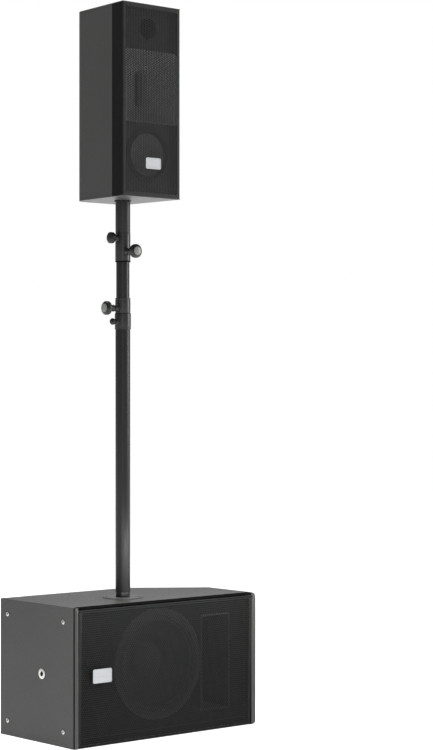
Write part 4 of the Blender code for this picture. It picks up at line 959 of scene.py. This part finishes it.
def clamp_knob(label, direction):
    """A fluted knob with a pale face on a threaded screw; says where it starts and how high it is."""
    knob, screw = f"{label}_clamp_knob", f"{label}_clamp_stud"
    head_body, screw_body = f"{label}_clamp_head", f"{label}_clamp_screw"
    near, far, height = reach_of(knob, direction)
    at = on_pole(height)
    rim, neck = 0.0165, 0.0075
    profile = [
        (0, far), (0.006, far - 0.0002), (0.0105, far - 0.0010), (0.0135, far - 0.0024),
        (rim - 0.0008, far - 0.0044), (rim, far - 0.0058, "flute"), (rim, far - 0.0088, "flute"),
        (rim, far - 0.0118, "flute"), (rim - 0.0014, far - 0.0136), (rim - 0.0050, far - 0.0164),
        (neck + 0.0014, far - 0.0190), (neck, far - 0.0212), (neck, near + 0.0012), (neck + 0.0012, near),
        (0.0044, near), (0.0044, near + 0.010), (0, near + 0.010),
    ]
    turned(f"{label}_knob", profile, at, direction, KNOB, head_body, [knob], "knob_plastic", 144, 0.0004, 40)
    disc, seat = 0.0126, far - 0.0036
    face = [
        (0, far + 0.0003), (disc * 0.5, far - 0.0001), (disc * 0.8, far - 0.0009), (disc, far - 0.0020),
        (disc, seat), (0, seat),
    ]
    turned(f"{label}_knob_face", face, at, direction, KNOB_FACE, head_body, slot="knob_plastic")
    inner = reach_of(screw, direction)[0]
    thread = [(0, inner), (0.0032, inner), (0.0039, inner + 0.0012)]
    pitch = 0.00125
    for k in range(int((near + 0.004 - inner) / pitch)):
        place = inner + 0.0012 + pitch * k
        thread += [(0.0040, place), (0.0034, place + pitch / 2)]
    thread += [(0.0038, near + 0.009), (0, near + 0.009)]
    turned(f"{label}_screw", thread, at, direction, ZINC, screw_body, [screw], "screw_steel", SMALL, sharp=30)
    return near, height


def lock_pin(label, direction, radius, length):
    """A pull pin: a bright shank, a neck and a ribbed head; says where the head starts and how high it is."""
    node, body = f"{label}_lock_pin", f"{label}_pin"
    near, far, height = reach_of(node, direction)
    at = on_pole(height)
    start = far - length
    profile = [(0, far), (radius * 0.55, far - 0.0003), (radius * 0.85, far - 0.0016)]
    ribs = max(2, int(length / 0.0032))
    for k in range(ribs):
        top = far - 0.0030 - (length - 0.0055) * k / ribs
        profile += [(radius, top), (radius, top - 0.0011), (radius * 0.93, top - 0.0016)]
    profile += [(radius * 0.8, start + 0.0006), (radius * 0.6, start), (0.0030, start), (0.0030, start + 0.002)]
    profile += [(0, start + 0.002)]
    turned(f"{body}_head", profile, at, direction, KNOB, body, [node], "knob_plastic", 72, 0.0003)
    shank = [(0, near), (0.0021, near), (0.0029, near + 0.0009), (0.0029, start + 0.002), (0, start + 0.002)]
    turned(f"{body}_shank", shank, at, direction, ZINC, body, segments=SMALL, radius=0.0002, slot="screw_steel")
    return start, height


def shade_ring(label, bottom, top, bore, radius, body):
    """A thin black ring of painted shade round a seam of the pole, or round the mouth of its socket."""
    profile = [(radius, bottom), (radius, top), (bore, top), (bore, bottom)]
    turned(f"{label}_seal", profile, on_pole(0), Z, SHADE_BLACK, body, radius=0.0003, slot="fitting_plastic")


def base_ring(spigot):
    """The threaded stud, with the ring that rests on the flange and the spigot in the lower tube."""
    low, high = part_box("pole_stud")
    radius = radius_from_pole("pole_stud")
    ring_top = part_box("pole_lower_tube")[0].z - 0.0003 - low.z
    ring_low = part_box("pole_flange")[1].z + 0.0003 - low.z
    thread = [(0, 0), (0.0088, 0), (0.0098, 0.0012)]
    pitch = 0.0025
    for k in range(int((ring_low - 0.003) / pitch)):
        thread += [(0.0100, 0.0012 + pitch * k), (0.0090, 0.0012 + pitch * (k + 0.5))]
    profile = [
        *thread, (0.0098, ring_low), (radius, ring_low), (radius, ring_top), (spigot, ring_top),
        (spigot, high.z - low.z), (0, high.z - low.z),
    ]
    nodes = ["pole_stud"]
    turned("base_ring", profile, on_pole(low.z), Z, KNOB, "pole_base", nodes, "fitting_plastic", ROUND, 0.0005)


def swivel_disc(plug):
    low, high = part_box("thrust_washer")
    edge, length, rise = radius_from_pole("thrust_washer"), high.z - low.z, 0.002
    profile = [(0, length), (edge, length), (edge, length - rise), (plug, length - rise), (plug, 0), (0, 0)]
    body, nodes = "swivel_washer", ["thrust_washer"]
    turned("swivel_disc", profile, on_pole(low.z), Z, KNOB, body, nodes, "fitting_plastic", ROUND, 0.0005)


def pole():
    mast = radius_from_pole("pole_middle_tube")
    base_ring(mast)
    tube("lower_tube", "pole_base")
    collar("lower_collar", "pole_base", (0.004,))
    collar("clamp_ring", "pole_base", (0.0325,))
    tube("middle_tube", "middle_mast")
    collar("upper_collar", "upper_mast", (0.0035, 0.0640))
    tube("upper_tube", "upper_mast")

    for label, direction, body, wall in (
        ("lower", -X, "pole_base", "pole_clamp_ring"), ("upper", -Y, "upper_mast", "pole_upper_collar"),
    ):
        near, height = clamp_knob(label, direction)
        start = radius_from_pole(wall) - 0.0012
        boss(f"{label}_clamp_boss", height, direction, start, near - 0.0026, 0.0074, body)
    for label, body, radius, length in (
        ("lower", "pole_base", 0.0078, 0.0102), ("upper", "upper_mast", 0.0135, 0.0135),
    ):
        near, height = lock_pin(label, -X, radius, length)
        start = radius_from_pole(f"pole_{label}_collar") - 0.0012
        boss(f"{label}_pin_boss", height, -X, start, near - PIN_SHOWN, 0.0063, body)

    seam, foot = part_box("pole_lower_collar")[1].z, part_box("pole_upper_collar")[0].z
    ring = radius_from_pole("pole_clamp_ring") + 0.0003
    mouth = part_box("top_base_plate")[0].z
    shade_ring("seam", seam - 0.0010, seam + 0.0011, 0.0172, ring, "pole_base")
    shade_ring("foot", foot - 0.0003, foot + 0.0020, mast + 0.0001, ring, "upper_mast")
    shade_ring("mouth", mouth - 0.0016, mouth - 0.0001, 0.0182, 0.0199, TOP)
    swivel_disc(mast)


# --- top cabinet


def top_half(depth):
    """Half the top cabinet's width at a depth behind its front; its sides lean in evenly."""
    low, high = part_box("top_cap_plate")
    return (high.x - low.x) / 2 - math.tan(TOP_LEAN) * depth


def top_outline(start, inner=0.0):
    """The cabinet's outline in X and depth from one depth to the back, right side first."""
    low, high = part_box("top_cap_plate")
    depth = high.y - low.y - TOP_REAR_RADIUS
    centre = (top_half(depth) - TOP_REAR_RADIUS / math.cos(TOP_LEAN), depth)
    right = arc(centre, TOP_REAR_RADIUS - inner, math.degrees(TOP_LEAN), 90, 16)
    half = top_half(start) - inner
    return [(half, start), *right, *[(-x, y) for x, y in reversed(right)], (-half, start)]


def rebated_outline(start):
    """The outline with its sides set in for the grille, as far back as the grille reaches."""
    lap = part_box("top_grille")[1].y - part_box("top_cap_plate")[0].y + 0.0003
    right = [(top_half(start) - SHEET_STEP, start), (top_half(lap) - SHEET_STEP, lap)]
    left = [(-x, y) for x, y in reversed(right)]
    return [*right, *top_outline(lap), *left]


def end_plate(name, node, hole):
    """A core behind the grille and a thin lip that stays in sight."""
    low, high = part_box(node)
    outward = 1 if name == "cap_plate" else -1
    lip = high.z - low.z - TOP_LAP
    lip_at = (high.z if outward > 0 else low.z) - outward * lip / 2
    core_at = (low.z if outward > 0 else high.z) + outward * (TOP_LAP - 0.0001) / 2
    holes = [circle((0, POLE.y - low.y), hole, 72)] if hole else []
    at = Matrix.Translation((POLE.x, low.y, lip_at))
    board(name, [top_outline(0), *holes], lip, at, LACQUER, TOP, [node], 0.0005, "cabinet_lacquer")
    at = Matrix.Translation((POLE.x, low.y, core_at))
    loops = [rebated_outline(SHEET_STEP), *holes]
    board(f"{name}_core", loops, TOP_LAP - 0.0001, at, LACQUER, TOP, (), 0.0001, "cabinet_lacquer")


def top_shell():
    """The wrap-round wall, with a rebate that the grille's sides lie in and a window for the rear plate."""
    low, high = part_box("top_shell")
    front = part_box("top_cap_plate")[0].y
    start = low.y - front
    loop = [*rebated_outline(start), *reversed(top_outline(start, TOP_WALL))]
    cage = outline_cage([loop], high.z - low.z)
    cage.transform(Matrix.Translation((POLE.x, front, (low.z + high.z) / 2)))
    bmesh.ops.recalc_face_normals(cage, faces=cage.faces)
    soften(cage, 0.0006, 2)
    shell = piece_of("cabinet_shell", cage)
    plate = middle("top_connector_plate")
    window = Matrix.Translation((plate.x, high.y, plate.z)) @ Matrix.Diagonal((0.040, 0.040, 0.070, 1))
    cage = bmesh.new()
    bmesh.ops.create_cube(cage, size=1, matrix=window)
    carve(shell, [piece_of("window", cage)])
    even_shading(finish_piece(shell, LACQUER, TOP, ["top_shell"], "cabinet_lacquer"))


def top_grille():
    low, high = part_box("top_grille")
    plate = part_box("top_cap_plate")[0].y
    back, front = top_half(high.y - plate), top_half(low.y - plate)
    corners = [(-back, high.y), (-front, low.y), (front, low.y), (back, high.y)]

    def lay(place, across):
        return (POLE.x + place[0], place[1], across)

    ends = (low.z - TOP_LAP + 0.0004, high.z + TOP_LAP - 0.0004)
    piece = perforated("top_perforated", corners, ends, lay, TOP_GRILLE_PAINTED_LIGHT, TOP, ["top_grille"], "grille_black")
    # the grille's side returns are painted black: painted shade on the sides that get less light
    paint_shade(piece, lambda polygon: abs(polygon.normal.x) > 0.8)


def horn():
    """A loft from the throat slot to the wide mouth: the outside, then back down the inside."""
    low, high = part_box("horn")
    centre = (low + high) / 2
    mouth = ((high.x - low.x) / 2 - HORN_WALL, (high.z - low.z) / 2 - HORN_WALL)
    length = high.y - low.y
    flange = (0.032, 0.0475)
    flange_depth = 0.004

    def size(share):
        """Inner half sizes, from 0 at the throat to 1 at the mouth."""
        grow = share**HORN_FLARE
        return [throat + (wide - throat) * grow for throat, wide in zip(HORN_THROAT, mouth)]

    def ring(width, height, share):
        corner = min(0.012 + 0.006 * (1 - share), width * 0.8, height * 0.8)
        return rounded_rectangle((0, 0), 2 * width, 2 * height, corner, 8)

    rings = [(ring(*flange, 0), high.y), (ring(*flange, 0), high.y - flange_depth)]
    for k in range(1, HORN_SECTIONS + 1):
        share = k / HORN_SECTIONS
        wide, tall = size(share)
        depth = min(high.y - length * share, high.y - flange_depth - 0.0003)
        rings.append((ring(wide + HORN_WALL, tall + HORN_WALL, share), depth))
    for k in range(HORN_SECTIONS, -1, -1):
        share = k / HORN_SECTIONS
        rings.append((ring(*size(share), share), high.y - length * share))
    count = len(rings[0][0])
    points = [(centre.x + x, depth, centre.z + z) for loop, depth in rings for x, z in loop]
    faces = []
    for k in range(len(rings)):
        base, above = k * count, (k + 1) % len(rings) * count
        for i in range(count):
            j = (i + 1) % count
            faces.append([base + i, base + j, above + j, above + i])
    piece = new_piece("top_horn", points, faces)
    turn_outwards(piece)
    finish_piece(piece, HORN, TOP, ["horn"], "moulded_black", 40)

    rib = HORN_THROAT[0] * 0.16
    for side in (-1, 1):
        at = facing((centre.x + side * HORN_THROAT[0] * 0.36, high.y - 0.006, centre.z), Y, Z)
        vane = rounded_rectangle((0, 0), 0.010, 2 * HORN_THROAT[1] - 0.002, 0.002, 3)
        board(f"horn_vane_{side + 2}", [vane], rib, at, HORN, TOP, (), 0.0004, "moulded_black")


def pole_cup():
    low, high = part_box("top_pole_socket")
    outer, bore, flange = 0.0200, 0.0180, (high.x - low.x) / 2
    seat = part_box("top_base_plate")[1].z + 0.0003 - low.z
    length = high.z - low.z
    ceiling = length - 0.002
    profile = [
        (0, length), (outer, length), (outer, seat + 0.0025), (flange, seat + 0.0025), (flange, seat),
        (outer, seat), (outer, 0), (bore, 0), (bore, ceiling), (0, ceiling),
    ]
    turned("pole_cup", profile, on_pole(low.z), Z, TUBE, TOP, ["top_pole_socket"], "tube_black", ROUND, 0.0004)


def cabinet_top():
    end_plate("base_plate", "top_base_plate", 0.0204)
    end_plate("cap_plate", "top_cap_plate", 0)
    top_shell()
    top_grille()
    badge("satellite_badge", "top_badge", TOP)
    rounded_copy("satellite_baffle", "top_baffle", PLASTIC, TOP, 0.0008, "moulded_black")
    horn()
    driver(
        "mid", "top_woofer", TOP, LIGHT_PAPER, ledge=0.008, wall=0.002, throat=0.0145, depth=0.024,
        cap_radius=0.020, cap_rise=0.006,
    )
    rear_plate("satellite_plate", "top_connector_plate", TOP, {"satellite_socket": "top_socket_input"})
    pole_cup()


def dress_hidden_nodes():
    """Materials for the inner CAD nodes, which stay as they are."""
    looks = {
        "woofer_magnet": FERRITE, "compression_driver": FERRITE, "woofer_spider": CLOTH,
        "woofer_voice_coil": COPPER, "sub_crossover": CIRCUIT,
    }
    for node, look in looks.items():
        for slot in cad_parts[node].material_slots:
            slot.material = look


# --- stage


def floor():
    look = surface(
        "floor_paper", (0.90, 0.90, 0.90), 0.95, tones=((0.6, 2), 1.01, 0.99), Specular_IOR_Level=0.1,
        Emission_Color=(1, 1, 1, 1), Emission_Strength=FLOOR_GLOW,
    )
    cage = bmesh.new()
    bmesh.ops.create_circle(cage, cap_ends=True, radius=60, segments=64)
    piece = piece_of("floor", cage)
    piece.data.materials.append(look)
    piece.location.z = -0.0005


def soft_light(name, place, target, size, power):
    light = bpy.data.lights.new(name, "AREA")
    light.shape = "RECTANGLE"
    light.size, light.size_y = size
    light.energy = power
    lamp = linked(name, light)
    lamp.visible_camera = False
    lamp.location = place
    lamp.rotation_euler = (Vector(target) - Vector(place)).to_track_quat("-Z", "Y").to_euler()


def studio():
    """A white room that is seen brighter than it shines, and soft lights above, before and beside the stack."""
    world = bpy.data.worlds.new("studio")
    world.use_nodes = True
    tree = world.node_tree
    room = tree.nodes["Background"]
    room.inputs["Strength"].default_value = ROOM_LIGHT
    room.inputs["Color"].default_value = (1, 1, 1, 1)
    wall = tree.nodes.new("ShaderNodeBackground")
    wall.inputs["Color"].default_value = (1, 1, 1, 1)
    path = tree.nodes.new("ShaderNodeLightPath")
    mix = tree.nodes.new("ShaderNodeMixShader")
    tree.links.new(path.outputs["Is Camera Ray"], mix.inputs["Fac"])
    tree.links.new(room.outputs["Background"], mix.inputs[1])
    tree.links.new(wall.outputs["Background"], mix.inputs[2])
    tree.links.new(mix.outputs["Shader"], tree.nodes["World Output"].inputs["Surface"])
    bpy.context.scene.world = world
    for light in LIGHTS:
        soft_light(*light)


def camera():
    view = bpy.data.cameras.new("camera")
    view.sensor_width = 36
    view.lens = 97.7
    view.shift_y = 0.0145
    eye = linked("camera", view)
    eye.location = (POLE.x - 2.9936, POLE.y - 3.7898, 0.8212)
    eye.rotation_euler = (math.radians(90), 0, math.radians(-40.94))
    bpy.context.scene.camera = eye


camera()
subwoofer()
pole()
cabinet_top()
dress_hidden_nodes()
floor()
studio()
bpy.context.scene.view_settings.view_transform = "Standard"
